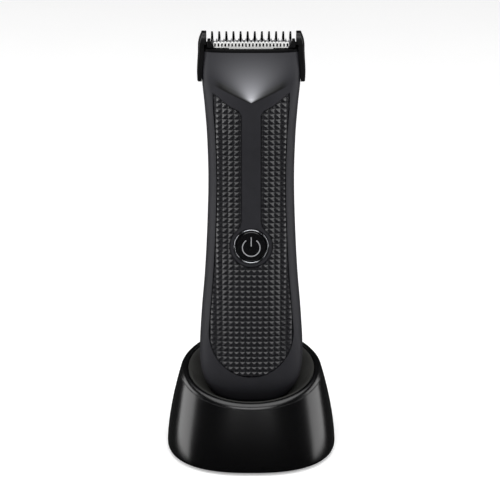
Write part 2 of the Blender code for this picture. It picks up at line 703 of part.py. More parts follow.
def rib_bank():
    """All the comb's ribs, as one cutter. Each rises from the band, and arches forward over the blades."""
    bm = bmesh.new()
    for i in range(RIB_COUNT):
        middle = (i - (RIB_COUNT - 1) / 2) * RIB_PITCH
        root = skin_point(math.radians(-90), 147, COMB_OUTER)[1]
        share = abs(middle) / half_width(147, COMB_OUTER)
        foot = root * (1 - share**BACK_POWER) ** (1 / BACK_POWER) - root
        profile = [
            (7.7 + foot, 145.3), (9.2 + foot, 145.3), (9.2 + foot, 149.2), (8.2 + 0.8 * foot, 151.2),
            (5.8 + 0.4 * foot, 153.1), (2.2, COMB_TIP - 0.2), (0.2, COMB_TIP), (-0.8, COMB_TIP - 0.5),
            (-0.9, COMB_TIP - 1.3), (1.0, 152.8), (3.6, 152.0), (6.0 + 0.6 * foot, 150.5),
            (7.4 + 0.9 * foot, 148.6),
        ]
        sides = []
        for side in (-1, 1):
            half = [0.8 - 0.04 * (height - 145) for _, height in profile]
            sides.append([
                bm.verts.new(Vector((middle + side * w, y, z)) * MM) for w, (y, z) in zip(half, profile)
            ])
        bm.faces.new(sides[0])
        bm.faces.new(sides[1][::-1])
        for k in range(len(profile)):
            j = (k + 1) % len(profile)
            bm.faces.new((sides[0][k], sides[1][k], sides[1][j], sides[0][j]))
    return from_bmesh("comb ribs", bm, None, GROOMER)


# ---------------------------------------------------------------- dock

def to_world(point):
    """A point of the leaning groomer, in the dock's frame."""
    x, y, z = point
    lean_cos, lean_sin = math.cos(LEAN), math.sin(LEAN)
    return (STAND[0] + x, STAND[1] + y * lean_cos + z * lean_sin, STAND[2] + z * lean_cos - y * lean_sin)


def rim_height(y):
    return RIM_MIDDLE[1] + RIM_SLOPE * (y - RIM_MIDDLE[0])


def dock_ring(share, inset=0.0, drop=0.0, count=40):
    """A level of the dock's outer wall, from 0 at its foot to 1 at its rim."""
    pull = share**WALL_BULGE
    half = DOCK_HALF + (RIM_HALF - DOCK_HALF) * pull - inset
    depth = DOCK_DEPTH + (RIM_DEPTH - DOCK_DEPTH) * pull - inset
    power = FOOT_POWER + (RIM_POWER - FOOT_POWER) * pull
    ring = []
    for i in range(count):
        angle = 2 * math.pi * i / count
        across = half * math.copysign(abs(math.cos(angle)) ** (2 / power), math.cos(angle))
        along = -depth * math.copysign(abs(math.sin(angle)) ** (2 / power), math.sin(angle))
        height = DOCK_BOTTOM + (RIM_MIDDLE[1] - DOCK_BOTTOM) * share + RIM_SLOPE * share * along
        ring.append((across, RIM_MIDDLE[0] * share + along, height - drop))
    return ring


def dock_shell():
    shares = [0, 0.04, 0.12, 0.3, 0.48, 0.64, 0.78, 0.9, 1]
    outer = [dock_ring(s, 1.2 if s == 0 else 0.0) for s in shares]
    inner = [dock_ring(s, DOCK_WALL) for s in shares[1:-1]]
    rings = [*outer, dock_ring(1, DOCK_WALL), *inner[::-1], dock_ring(0, DOCK_WALL + 0.4)]
    bm = bmesh.new()
    rows = [[bm.verts.new(Vector(p) * MM) for p in ring] for ring in rings]
    for low, high in zip(rows, [*rows[1:], rows[0]]):
        for i in range(len(low)):
            j = (i + 1) % len(low)
            bm.faces.new((low[i], low[j], high[j], high[i]))
    shell = from_bmesh("dock_shell", bm, DOCK_GLOSS, None)
    for i, (x, y) in enumerate(post_spots()):
        join(shell, cylinder(f"post {i}", 2.8, (x, y, 3.4), (x, y, 13), sides=14))
        cut(shell, cylinder(f"post bore {i}", 1.2, (x, y, 2), (x, y, 11), sides=10))
    cut(shell, box("inlet opening", (-5.3, 22, 4.9), (5.3, 40, 9.1)))
    return shell


def post_spots():
    return [(sx * POST_REACH[0], sy * POST_REACH[1]) for sx in (-1, 1) for sy in (-1, 1)]


def mouth_height(angle, grow, depth):
    """How far up the groomer the pocket's mouth lies, at an angle round it."""
    low, high = -0.4, 40.0
    for _ in range(30):
        middle = (low + high) / 2
        x, y, z = to_world(skin_point(angle, middle, grow, brow=False))
        if z < rim_height(y) - depth:
            low = middle
        else:
            high = middle
    return (low + high) / 2


def pocket_ring(share, grow, floor, depth, count=40):
    """A level of the pocket, from 0 at its floor to 1 at its mouth."""
    ring = []
    for i in range(count):
        angle = 2 * math.pi * i / count
        top = max(floor + 1.0, mouth_height(angle, grow, depth))
        height = floor + (top - floor) * share
        ring.append(to_world(skin_point(angle, max(height, 0.0), grow, brow=False)[:2] + (height,)))
    return ring


def between(ring, other, share):
    return [tuple(a + (b - a) * share for a, b in zip(p, q)) for p, q in zip(ring, other)]


def dock_cradle():
    floor = -POCKET_PLAY
    shares = [0, 0.1, 0.28, 0.52, 0.78, 1]
    pocket = [pocket_ring(s, POCKET_PLAY, floor, DISH_DEPTH) for s in shares]
    thick = POCKET_PLAY + DISH_WALL
    under = [pocket_ring(s, thick, -thick, DISH_DEPTH + 1.2) for s in shares]
    edge = dock_ring(1, DOCK_WALL + GAP)
    lip = dock_ring(1, DOCK_WALL + GAP + 1.0, drop=0.7)
    low_edge = dock_ring(1, DOCK_WALL + GAP + 0.35, drop=3.0)
    low_lip = dock_ring(1, DOCK_WALL + GAP + 2.6, drop=3.6)
    dish = between(lip, pocket[-1], 0.5)
    low_dish = between(low_lip, under[-1], 0.5)
    rings = [*pocket, dish, lip, edge, low_edge, low_lip, low_dish, *under[::-1]]
    cradle = loft("dock_cradle", rings, DOCK_SATIN)
    for side, x in (("left", -CONTACT_REACH), ("right", CONTACT_REACH)):
        cut(cradle, cylinder(f"{side} pin hole", 1.1, (x, 0, -6), (x, 0, 3), None, GROOMER, 14))
    return cradle


def charge_pins():
    for side, x, pin_parent in (("left", -CONTACT_REACH, PIN_LEFT), ("right", CONTACT_REACH, PIN_RIGHT)):
        cylinder(f"charge_pin_{side}", 0.75, (x, 0, -5.4), (x, 0, -0.2), BRASS, pin_parent, 12)
        barrel = cylinder(f"pin_barrel_{side}", 1.7, (x, 0, -7.4), (x, 0, -2.7), PLASTIC, GROOMER, 14)
        cut(barrel, cylinder(f"{side} barrel bore", 1.05, (x, 0, -6.9), (x, 0, 0), None, GROOMER, 12))
    box("dock_pcb", (-8, -4.5, -8.9), (8, 4.5, -7.7), BOARD, GROOMER)


def dock_base():
    floor_ring = dock_ring(0, DOCK_WALL + 0.4 + GAP)
    rings = [[(x, y, height) for x, y, _ in floor_ring] for height in (DOCK_BOTTOM, DOCK_BOTTOM + 2)]
    base = loft("dock_base_plate", rings, DOCK_SATIN)
    pad_rings = [[(x * PAD_SHARE, y * PAD_SHARE, height) for x, y, _ in floor_ring] for height in (0, 0.7)]
    loft("dock_foot_pad", pad_rings, RUBBER)
    for i, (x, y) in enumerate(post_spots(), 1):
        cut(base, cylinder(f"base hole {i}", 1.3, (x, y, 0), (x, y, 5), sides=12))
        cut(base, cylinder(f"base sink {i}", 2.3, (x, y, 0), (x, y, 2.2), sides=12))
        screw = cylinder(f"dock_screw_{i}", 0.9, (x, y, 1.6), (x, y, 9.5), STEEL, sides=10)
        join(screw, cylinder(f"dock screw head {i}", 2.0, (x, y, 1.05), (x, y, 1.95), sides=12))


def dock_inlet():
    socket = box("dock_inlet", (-5, 21.5, 5.2), (5, 31.4, 8.8), STEEL, round_edges=0.8)
    cut(socket, box("inlet room", (-4.4, 24, 5.7), (4.4, 40, 8.3)))
    box("inlet_tongue", (-3.3, 24.3, 6.65), (3.3, 30.6, 7.35), PLASTIC)
    for side, x, mat in (("red", -3, RED), ("black", 3, PLASTIC)):
        start = to_world((x, 0, -9.6))
        bend = (x, start[1] + 1, start[2] - 2.5)
        path = [start, bend, (x, 3, 6.4), (x, 12, 6.0), (x, 18, 6.8), (x, 21.1, 7.0)]
        wire(f"dock_lead_{side}", path, 0.6, mat, None)


# ---------------------------------------------------------------- assembly

def empty(name, at, parent=None):
    made = bpy.data.objects.new(name, None)
    PARTS.objects.link(made)
    made.parent = parent
    made.location = Vector(at) * MM
    return made


clear_scene()
PARTS = new_collection("body_groomer")
CUTTERS = new_collection("cutters")

CASE_BLACK = material("matt black casing", (0.020, 0.020, 0.023), 0.45)
RUBBER = material("black rubber", (0.018, 0.018, 0.020), 0.75)
GLOSS_BLACK = material("gloss black", (0.008, 0.008, 0.009), 0.08)
CHROME = material("chrome", (0.55, 0.56, 0.58), 0.12, 1.0)
COMB_BLACK = material("comb black", (0.012, 0.012, 0.013), 0.3)
STEEL = material("steel", (0.62, 0.63, 0.65), 0.28, 1.0)
CERAMIC = material("white ceramic", (0.86, 0.86, 0.85), 0.25)
BRASS = material("gold contact", (0.83, 0.62, 0.25), 0.3, 1.0)
PLASTIC = material("dark plastic", (0.05, 0.05, 0.055), 0.5)
BOARD = material("circuit board", (0.02, 0.16, 0.07), 0.45)
CELL = material("battery sleeve", (0.05, 0.12, 0.35), 0.4)
LAMP = material("lamp plastic", (0.9, 0.9, 0.92), 0.15)
RED = material("red lead", (0.5, 0.02, 0.02), 0.4)
DOCK_GLOSS = material("dock gloss black", (0.006, 0.006, 0.007), 0.06)
DOCK_SATIN = material("dock satin black", (0.014, 0.014, 0.013), 0.3)

GROOMER = empty("groomer", STAND)
GROOMER.rotation_euler = (-LEAN, 0, 0)
BUTTON = empty("button_axis", (0, -12, BUTTON_HEIGHT), GROOMER)
PLUNGER = empty("plunger_axis", (0, -7.8, BUTTON_HEIGHT), GROOMER)
ROTOR = empty("rotor_axis", (0, DRIVE_DEPTH, 120), GROOMER)
HEAD = empty("head_axis", (0, 0, HEAD_LOW), GROOMER)
CUTTER = empty("cutter_axis", (0, MOVING_Y[1], 145), GROOMER)
COMB = empty("comb_axis", (0, 0, COMB_LOW), GROOMER)
PIN_LEFT = empty("pin_left_axis", (-CONTACT_REACH, 0, -0.2), GROOMER)
PIN_RIGHT = empty("pin_right_axis", (CONTACT_REACH, 0, -0.2), GROOMER)

front_shell()
rear_shell()
grip("front_grip", grip_outline, True, RUBBER)
grip("rear_grip", rear_outline, False, RUBBER)
case_screws()
power_button()
electronics()
charging_contacts()
battery()
motor()
blade_head()
cutter()
comb_guard()
dock_shell()
dock_cradle()
dock_base()
dock_inlet()
charge_pins()
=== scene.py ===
"""The finished look of a body groomer standing in its charging dock.

Forms are drawn in millimetres, in the groomer's own upright frame or in the dock's, and turned into
metres. The groomer's frame: X across, -Y to the front, Z up the groomer from its lower end.
"""

import math

import bmesh
import bpy
from mathutils import Matrix, Vector


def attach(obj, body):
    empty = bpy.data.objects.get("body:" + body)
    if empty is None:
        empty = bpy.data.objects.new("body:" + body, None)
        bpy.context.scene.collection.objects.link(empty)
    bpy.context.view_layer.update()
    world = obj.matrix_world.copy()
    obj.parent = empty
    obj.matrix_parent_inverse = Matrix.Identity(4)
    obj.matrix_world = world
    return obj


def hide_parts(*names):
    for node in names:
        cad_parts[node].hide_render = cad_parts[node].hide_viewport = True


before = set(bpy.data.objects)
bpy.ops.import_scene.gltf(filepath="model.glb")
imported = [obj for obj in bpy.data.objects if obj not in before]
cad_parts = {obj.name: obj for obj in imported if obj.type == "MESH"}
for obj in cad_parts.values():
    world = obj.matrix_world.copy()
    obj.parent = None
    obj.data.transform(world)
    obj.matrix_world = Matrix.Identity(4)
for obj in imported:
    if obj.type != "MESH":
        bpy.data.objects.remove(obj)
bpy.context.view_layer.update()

MM = 0.001

# ---- The groomer's driving dimensions, in mm
LEAN = math.radians(10)
STAND = (0, -4, 20.9)
CASE_TOP = 148.0
SEAM = 0.5
WALL = 2.0
GAP = 0.3
HALF_WIDTH = [
    (21.6, 21.3), (38, 20.5), (55, 19.1), (74, 18.1), (94, 17.6), (112, 18.1), (124, 19.0), (137, 20.2),
    (148, 19.8),
]
BACK_DEPTH = [(14, 13.2), (35, 14), (66, 13), (94, 12), (114, 11.4), (130, 9.2), (138, 8.3), (148, 7.6)]
FRONT_DEPTH = [(14, 13.2), (35, 13.6), (66, 12.9), (94, 12.2), (118, 12.5)]
HEAD_TAPER = 5.9
HEAD_START = 118
FRONT_POWER, BACK_POWER = 2.8, 2.4
END_HEIGHT, END_LENGTH, END_POWER = 21.6, 22.5, 2.5
HEEL_HEIGHT, HEEL_LENGTH, HEEL_POWER = 14.0, 14.8, 2.3
BROW_TIP = 127.0
BROW_SLOPE = 0.436
BROW_HALF = 16.0
BROW_DEPTH = 12.9
BROW_LEDGE = 2.8
LAMP_Y = -(BROW_DEPTH - 1.15)
BUTTON_HEIGHT = 67.8
BUTTON_RADIUS = 6.2
BEZEL_RADIUS = 7.2
RING_RADIUS = 9.0
STEM_HALF = 4.3
GRIP_MARGIN = 3.9
GRIP_BOTTOM = 13.0
GRIP_SUNK = 0.9
GRIP_GAP = 0.45
RIM_BAND = 1.4  # the band below the casing's top, painted near-black as shade under the blade head
BLADE_TIP = 151.9
COMB_TIP = 154.4
RIB_PITCH, RIB_COUNT = 2.9, 12
DRIVE_DEPTH = 0.3
HEAD_LOW = 137.0
BLADE_HALF, CUTTER_HALF = 16.2, 15.4
BLADE_TEETH = 22
FIXED_Y, MOVING_Y = (-2.8, -2.0), (-3.9, -3.1)
SLOT_HALF, SLOT_LOW, SLOT_HIGH = 0.33, 148.7, 150.1
COMB_INNER, COMB_OUTER = 0.5, 1.9
COMB_LOW, COMB_BAND_TOP = 134.4, 149.4
HORN_TAPER = [(146, 1.9), (149.6, 1.88), (151.2, 1.65), (152.7, 1.2), (153.8, 0.75), (155.2, 0.2)]
CONTACT_REACH = 2.4
CASE_SCREWS = [(-12.0, 16), (12.0, 16), (-12.2, 80), (12.2, 80)]

# ---- The dock's
DOCK_HALF, DOCK_DEPTH = 35.0, 34.3
RIM_HALF, RIM_DEPTH = 28.8, 24.0
RIM_MIDDLE = (-1.0, 34.7)
RIM_SLOPE = 0.303
WALL_BULGE = 1.5
FOOT_POWER, RIM_POWER = 2.5, 2.0
DOCK_WALL = 2.4
DISH_DEPTH = 8.0
DISH_WALL = 1.8
DOCK_BOTTOM = 1.0
POCKET_PLAY = 0.5
PAD_SHARE = 0.86
DOCK_SCREWS = [(sx * 22.6, sy * 21.6) for sx in (-1, 1) for sy in (-1, 1)]

# ---- Surface detail
KNOB_ACROSS, KNOB_ALONG = 2.4, 2.15  # pitch of the grip's pyramids
KNOB_HEIGHT = 0.6
KNOB_FLAT, KNOB_GROOVE = 0.42, 0.3  # width of a pyramid's top, and of the groove between two
ICON_RADIUS, ICON_STROKE = 3.6, 0.4

GROOMER = Matrix.Translation(Vector(STAND) * MM) @ Matrix.Rotation(-LEAN, 4, "X")


# ---------------------------------------------------------------- mesh helpers

def linked(name, mesh):
    made = bpy.data.objects.new(name, mesh)
    bpy.context.scene.collection.objects.link(made)
    return made


def from_bmesh(name, bm):
    bmesh.ops.recalc_face_normals(bm, faces=bm.faces)
    mesh = bpy.data.meshes.new(name)
    bm.to_mesh(mesh)
    bm.free()
    return linked(name, mesh)


def applied(obj):
    """Gives obj the mesh that its modifiers, or its curve, make of it."""
    bpy.context.view_layer.update()
    graph = bpy.context.evaluated_depsgraph_get()
    mesh = bpy.data.meshes.new_from_object(obj.evaluated_get(graph))
    obj.modifiers.clear()
    obj.data = mesh
    return obj


def carve(obj, operation, *others):
    for other in others:
        modifier = obj.modifiers.new(other.name, "BOOLEAN")
        modifier.operation = operation
        modifier.solver = "EXACT"
        modifier.object = other
    applied(obj)
    for other in others:
        bpy.data.objects.remove(other)
    return obj


def cut(obj, *others):
    return carve(obj, "DIFFERENCE", *others)


def join(obj, *others):
    return carve(obj, "UNION", *others)


def keep(obj, *others):
    return carve(obj, "INTERSECT", *others)


def rounded(obj, width, segments=2, angle=35):
    """Rounds obj's sharp edges."""
    bevel = obj.modifiers.new("round", "BEVEL")
    bevel.width = width * MM
    bevel.segments = segments
    bevel.limit_method = "ANGLE"
    bevel.angle_limit = math.radians(angle)
    bevel.harden_normals = False
    return applied(obj)


def box(name, low, high, round_edges=0.0):
    bm = bmesh.new()
    size = Vector(high) - Vector(low)
    middle = (Vector(high) + Vector(low)) / 2
    where = Matrix.Translation(middle * MM) @ Matrix.Diagonal((*(size * MM), 1))
    bmesh.ops.create_cube(bm, size=1, matrix=where)
    obj = from_bmesh(name, bm)
    return rounded(obj, round_edges, 3) if round_edges else obj


def turned(name, profile, at, axis, sides=72, ring=False):
    """A turned solid. Its profile of (radius, distance along axis) starts and ends on the axis.
    With ring it closes on itself instead."""
    turn = Vector((0, 0, 1)).rotation_difference(Vector(axis)).to_matrix()
    middle = Vector(at)
    bm = bmesh.new()
    rows = []
    for radius, along in profile:
        count = sides if radius > 1e-6 else 1
        rows.append([
            bm.verts.new((middle + turn @ Vector((
                radius * math.cos(2 * math.pi * i / sides), radius * math.sin(2 * math.pi * i / sides), along,
            ))) * MM)
            for i in range(count)
        ])
    following = [*rows[1:], rows[0]] if ring else rows[1:]
    for low, high in zip(rows, following):
        for i in range(sides):
            j = (i + 1) % sides
            corners = [low[i % len(low)], low[j % len(low)], high[j % len(high)], high[i % len(high)]]
            corners = list(dict.fromkeys(corners))
            if len(corners) > 2:
                bm.faces.new(corners)
    return from_bmesh(name, bm)


def rod(name, radius, start, end, sides=48):
    start, end = Vector(start), Vector(end)
    length = (end - start).length
    return turned(name, [(0, 0), (radius, 0), (radius, length), (0, length)], start, end - start, sides)


def loft(name, rings, closed=False):
    """A skin over rings of points in mm, capped at both ends, or closed from the last ring to the first."""
    bm = bmesh.new()
    rows = [[bm.verts.new(Vector(p) * MM) for p in ring] for ring in rings]
    following = [*rows[1:], rows[0]] if closed else rows[1:]
    for low, high in zip(rows, following):
        for i in range(len(low)):
            j = (i + 1) % len(low)
            bm.faces.new((low[i], low[j], high[j], high[i]))
    if not closed:
        bm.faces.new(rows[0][::-1])
        bm.faces.new(rows[-1])
    return from_bmesh(name, bm)


def plate(name, outlines, low, high, facing="Y", soft=0.0):
    """A flat plate from low to high along facing: the first outline, less the others as holes.
    Facing Y draws (x, z) outlines, and facing X draws (y, z) outlines. Soft rounds its edges."""
    curve = bpy.data.curves.new(name, "CURVE")
    curve.dimensions = "2D"
    curve.fill_mode = "BOTH"
    curve.extrude = (high - low) / 2 * MM
    for outline in outlines:
        spline = curve.splines.new("POLY")
        spline.points.add(len(outline) - 1)
        for point, (a, b) in zip(spline.points, outline):
            point.co = (a * MM, b * MM, 0, 1)
        spline.use_cyclic_u = True
    flat = linked(name, curve)
    bpy.context.view_layer.update()
    graph = bpy.context.evaluated_depsgraph_get()
    mesh = bpy.data.meshes.new_from_object(flat.evaluated_get(graph))
    bpy.data.objects.remove(flat)
    middle = (low + high) / 2 * MM
    if facing == "Y":
        turn = Matrix(((1, 0, 0, 0), (0, 0, -1, middle), (0, 1, 0, 0), (0, 0, 0, 1)))
    else:
        turn = Matrix(((0, 0, 1, middle), (1, 0, 0, 0), (0, 1, 0, 0), (0, 0, 0, 1)))
    mesh.transform(turn)
    bm = bmesh.new()
    bm.from_mesh(mesh)
    bmesh.ops.remove_doubles(bm, verts=bm.verts, dist=1e-6)
    bmesh.ops.dissolve_limit(bm, angle_limit=0.01, verts=bm.verts, edges=bm.edges)
    obj = from_bmesh(name, bm)
    return rounded(obj, soft) if soft else obj


def piece(obj, body, look, nodes=(), leaning=True, sharp=32):
    """Makes obj a finished piece: its place, shading and material, its body and the nodes it stands for."""
    if leaning:
        obj.data.transform(GROOMER)
    obj.data.materials.clear()
    obj.data.materials.append(look)
    obj.data.shade_smooth()
    obj.data.set_sharp_from_angle(angle=math.radians(sharp))
    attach(obj, body)
    if nodes:
        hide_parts(*nodes)
    return obj


# ---------------------------------------------------------------- materials

def new_look(name, color, roughness, metallic=0.0, spread=0.12, patch=0.004, grain=0.0002, bump=0.02,
             wear=0.08, coat=0.0, specular=0.5):
    """A moulded or ground surface. Its colour drifts by spread over patches, and its roughness by wear.
    Patch and grain are sizes in metres, and bump is how strongly the grain shows."""
    made = bpy.data.materials.new(name)
    made.use_nodes = True
    nodes, links = made.node_tree.nodes, made.node_tree.links
    shader = nodes["Principled BSDF"]
    shader.inputs["Metallic"].default_value = metallic
    shader.inputs["Specular IOR Level"].default_value = specular
    shader.inputs["Coat Weight"].default_value = coat
    shader.inputs["Coat Roughness"].default_value = 0.04
    where = nodes.new("ShaderNodeTexCoord")

    def noise(size, detail):
        made_noise = nodes.new("ShaderNodeTexNoise")
        made_noise.inputs["Scale"].default_value = 1 / size
        made_noise.inputs["Detail"].default_value = detail
        links.new(where.outputs["Object"], made_noise.inputs["Vector"])
        return made_noise.outputs["Fac"]

    patches = noise(patch, 3)
    colors = nodes.new("ShaderNodeMix")
    colors.data_type = "RGBA"
    colors.inputs[6].default_value = (*(c * (1 - spread) for c in color), 1)
    colors.inputs[7].default_value = (*(min(1.0, c * (1 + spread)) for c in color), 1)
    links.new(patches, colors.inputs[0])
    links.new(colors.outputs[2], shader.inputs["Base Color"])
    polish = nodes.new("ShaderNodeMapRange")
    polish.inputs["To Min"].default_value = max(0.02, roughness * (1 - wear))
    polish.inputs["To Max"].default_value = min(1.0, roughness * (1 + wear))
    links.new(patches, polish.inputs["Value"])
    links.new(polish.outputs["Result"], shader.inputs["Roughness"])
    relief = nodes.new("ShaderNodeBump")
    relief.inputs["Strength"].default_value = bump
    relief.inputs["Distance"].default_value = grain
    links.new(noise(grain, 2), relief.inputs["Height"])
    links.new(relief.outputs["Normal"], shader.inputs["Normal"])
    return made


def maths(nodes, links, operation, a, b=None):
    """A Math node on sockets or numbers, and its output."""
    node = nodes.new("ShaderNodeMath")
    node.operation = operation
    for socket, value in zip(node.inputs, (a, b)):
        if value is None:
            continue
        if isinstance(value, (int, float)):
            socket.default_value = value
        else:
            links.new(value, socket)
    return node.outputs[0]


def paint_brow_light_and_shade(look):
    """Paints the work light's fan into the casing's material as a glow over the scoop above the brow, fading
    up the casing and to the sides: painted light. Also paints shade on the brow's ledge.
    """
    nodes, links = look.node_tree.nodes, look.node_tree.links
    shader = nodes["Principled BSDF"]
    tip = GROOMER @ (Vector((0, -BROW_DEPTH, BROW_TIP)) * MM)
    where = nodes.new("ShaderNodeTexCoord")
    away = nodes.new("ShaderNodeVectorMath")
    away.operation = "SUBTRACT"
    links.new(where.outputs["Object"], away.inputs[0])
    away.inputs[1].default_value = tip
    upright = nodes.new("ShaderNodeMapping")
    upright.inputs["Rotation"].default_value = (LEAN, 0, 0)
    upright.inputs["Scale"].default_value = (1 / MM, 1 / MM, 1 / MM)
    links.new(away.outputs[0], upright.inputs["Vector"])
    parts = nodes.new("ShaderNodeSeparateXYZ")
    links.new(upright.outputs[0], parts.inputs[0])
    across = maths(nodes, links, "ABSOLUTE", parts.outputs["X"])
    rise = maths(nodes, links, "SUBTRACT", parts.outputs["Z"], 0.1)
    rise = maths(nodes, links, "MAXIMUM", rise, 0.0)
    # how wide the fan is at this height, and how far out in it this point lies
    width = maths(nodes, links, "MULTIPLY_ADD", rise, 0.98)
    width.node.inputs[2].default_value = 0.9
    out = maths(nodes, links, "DIVIDE", across, width)
    falls = maths(nodes, links, "POWER", out, 2.2)
    side = maths(nodes, links, "EXPONENT", maths(nodes, links, "MULTIPLY", falls, -1.1))
    fade = maths(nodes, links, "EXPONENT", maths(nodes, links, "MULTIPLY", rise, -1 / 7.0))
    start = maths(nodes, links, "EXPONENT", maths(nodes, links, "MULTIPLY", rise, -1 / 0.9))
    fade = maths(nodes, links, "MULTIPLY", fade, 0.58)
    fan = maths(nodes, links, "ADD", fade, maths(nodes, links, "MULTIPLY", start, 0.55))
    edge = maths(nodes, links, "MULTIPLY", across, BROW_SLOPE)
    above = maths(nodes, links, "SUBTRACT", parts.outputs["Z"], edge)

    def grows(value, start, end):
        ramp = nodes.new("ShaderNodeMapRange")
        ramp.interpolation_type = "SMOOTHSTEP"
        ramp.inputs["From Min"].default_value = start
        ramp.inputs["From Max"].default_value = end
        links.new(value, ramp.inputs["Value"])
        return ramp.outputs["Result"]

    open_sky = grows(above, -0.1, 1.1)
    front = maths(nodes, links, "LESS_THAN", parts.outputs["Y"], BROW_DEPTH - 4)
    glow = maths(nodes, links, "MULTIPLY", maths(nodes, links, "MULTIPLY", fan, side), open_sky)
    glow = maths(nodes, links, "MULTIPLY", glow, front)
    # painted shade: the brow's ledge face is mixed towards near-black
    face = maths(nodes, links, "MULTIPLY", grows(above, -0.5, 0.1), grows(above, 3.4, 1.4))
    face = maths(nodes, links, "MULTIPLY", face, grows(across, 16, 12))
    face = maths(nodes, links, "MULTIPLY", face, front)
    # mixes the casing's colour towards near-black over the ledge, for the painted shade
    coat = nodes.new("ShaderNodeMix")
    coat.data_type = "RGBA"
    coat.inputs[7].default_value = (0.002, 0.002, 0.002, 1)
    links.new(shader.inputs["Base Color"].links[0].from_socket, coat.inputs[6])
    links.new(face, coat.inputs[0])
    links.new(coat.outputs[2], shader.inputs["Base Color"])
    # painted light: the casing itself glows as emission in the work light's fan
    shader.inputs["Emission Color"].default_value = (0.93, 0.94, 1.0, 1)
    links.new(glow, shader.inputs["Emission Strength"])
    return look


CASING = new_look("soft touch casing", (0.0205, 0.0203, 0.0245), 0.55, grain=0.00022, bump=0.06,
                  specular=0.25)
# paints the work light's fan and the shade on the brow's ledge into the casing's colour
paint_brow_light_and_shade(CASING)
# near-black for the band under the blade head: painted shade
RIM_PAINTED_SHADE = new_look("casing rim painted shade", (0.002, 0.002, 0.0025), 0.5, bump=0.02, specular=0.08)
RUBBER = new_look("grip rubber", (0.014, 0.0138, 0.016), 0.28, grain=0.00015, bump=0.05)
GLOSS = new_look("polished black", (0.004, 0.004, 0.0045), 0.05, grain=0.0005, bump=0.004, coat=0.3)
CHROME = new_look("plated ring", (0.42, 0.43, 0.45), 0.10, 1.0, spread=0.03, bump=0.01)
ICON = new_look("icon", (0.34, 0.345, 0.36), 0.4, spread=0.05)
COMB = new_look("comb nylon", (0.005, 0.005, 0.0055), 0.32, grain=0.0003, bump=0.02, specular=0.3)
BLADE_STEEL = new_look("blade steel", (0.20, 0.20, 0.21), 0.38, 0.9, spread=0.05, grain=0.0001,
                       bump=0.04)
STEEL = new_look("ground steel", (0.80, 0.81, 0.82), 0.24, 1.0, spread=0.06, grain=0.0001, bump=0.05)
CERAMIC = new_look("ceramic", (0.90, 0.90, 0.89), 0.22, spread=0.02, patch=0.002, bump=0.01)
GOLD = new_look("gold contact", (0.86, 0.63, 0.25), 0.24, 1.0, spread=0.05, bump=0.02)
PLASTIC = new_look("inner plastic", (0.045, 0.045, 0.05), 0.5, bump=0.06)
BOARD = new_look("laminate", (0.015, 0.13, 0.055), 0.42, spread=0.2, patch=0.0015)
SLEEVE = new_look("battery sleeve", (0.04, 0.11, 0.36), 0.33, patch=0.006)
LENS = new_look("lamp plastic", (0.9, 0.9, 0.92), 0.15, spread=0.02, bump=0.01)
RED = new_look("red insulation", (0.48, 0.02, 0.02), 0.38)
DOCK_GLOSS = new_look("dock piano black", (0.0015, 0.0015, 0.0018), 0.23, patch=0.02, grain=0.0015,
                      bump=0.005)
DOCK_SATIN = new_look("dock satin", (0.050, 0.050, 0.047), 0.40, grain=0.0003, bump=0.03)
DOCK_RUBBER = new_look("foot rubber", (0.02, 0.02, 0.02), 0.8, bump=0.1)


# ---------------------------------------------------------------- the casing's form

def through(stations, at):
    """A smooth curve through (place, value) stations, held level past its ends."""
    if at <= stations[0][0]:
        return stations[0][1]
    if at >= stations[-1][0]:
        return stations[-1][1]
    k = next(i for i in range(len(stations) - 1) if at <= stations[i + 1][0])
    (x0, y0), (x1, y1) = stations[k], stations[k + 1]

    def slope(i):
        if i in (0, len(stations) - 1):
            return 0.0
        (xa, ya), (xb, yb) = stations[i - 1], stations[i + 1]
        return (yb - ya) / (xb - xa)

    span = x1 - x0
    t = (at - x0) / span
    return (
        y0 * (2 * t**3 - 3 * t**2 + 1)
        + slope(k) * span * (t**3 - 2 * t**2 + t)
        + y1 * (3 * t**2 - 2 * t**3)
        + slope(k + 1) * span * (t**3 - t**2)
    )


def ease(t):
    t = min(1.0, max(0.0, t))
    return t * t * (3 - 2 * t)


def round_end(height, start, length, power, grow):
    """The share of full size left at a height below start, where an end closes over length."""
    share = min(1.0, max(0.0, start - height) / (length + grow))
    return (1 - share**power) ** (1 / power)


def half_width(height, grow=0.0):
    return (through(HALF_WIDTH, height) + grow) * round_end(height, END_HEIGHT, END_LENGTH, END_POWER, grow)


def heel_end(height, grow):
    return round_end(height, HEEL_HEIGHT, HEEL_LENGTH, HEEL_POWER, grow)


def back_depth(height, grow=0.0):
    return (through(BACK_DEPTH, height) + grow) * heel_end(height, grow)


def plain_front(height):
    return through(FRONT_DEPTH, height) - HEAD_TAPER * ease((height - HEAD_START) / (CASE_TOP - HEAD_START))


def front_depth(x, height, grow=0.0, brow=True):
    """How far the casing's front stands before the middle, at x across, before its section rounds it off."""
    depth = plain_front(height)
    if brow and abs(x) < BROW_HALF:
        edge = BROW_TIP + BROW_SLOPE * abs(x)
        fade = (1 - (x / BROW_HALF) ** 2) ** 2
        stand = max(0.0, BROW_DEPTH - depth)
        past = min(1.0, max(0.0, height - edge) / BROW_LEDGE)
        depth += fade * stand * ease((height - 100) / 18) * (1 - ease(past))
    return (depth + grow) * heel_end(height, grow)


def skin_point(angle, height, grow=0.0, brow=True, bend=0.0):
    """A point on the casing's skin. Angle 0 is the +X side and 90 degrees the front.
    Bend lifts the row with x, so that rows run along the brow's edge."""
    across, deep = math.cos(angle), math.sin(angle)
    power = FRONT_POWER if deep >= 0 else BACK_POWER
    share = math.copysign(abs(across) ** (2 / power), across)
    rise = abs(deep) ** (2 / power)
    if deep > 0:
        lift = bend * BROW_SLOPE * abs(share) * half_width(height, grow)
        height += lift * ease((rise - 0.3) / 0.5)
    x = share * half_width(height, grow)
    if deep >= 0:
        return x, -rise * front_depth(x, height, grow, brow), height
    return x, rise * back_depth(height, grow), height


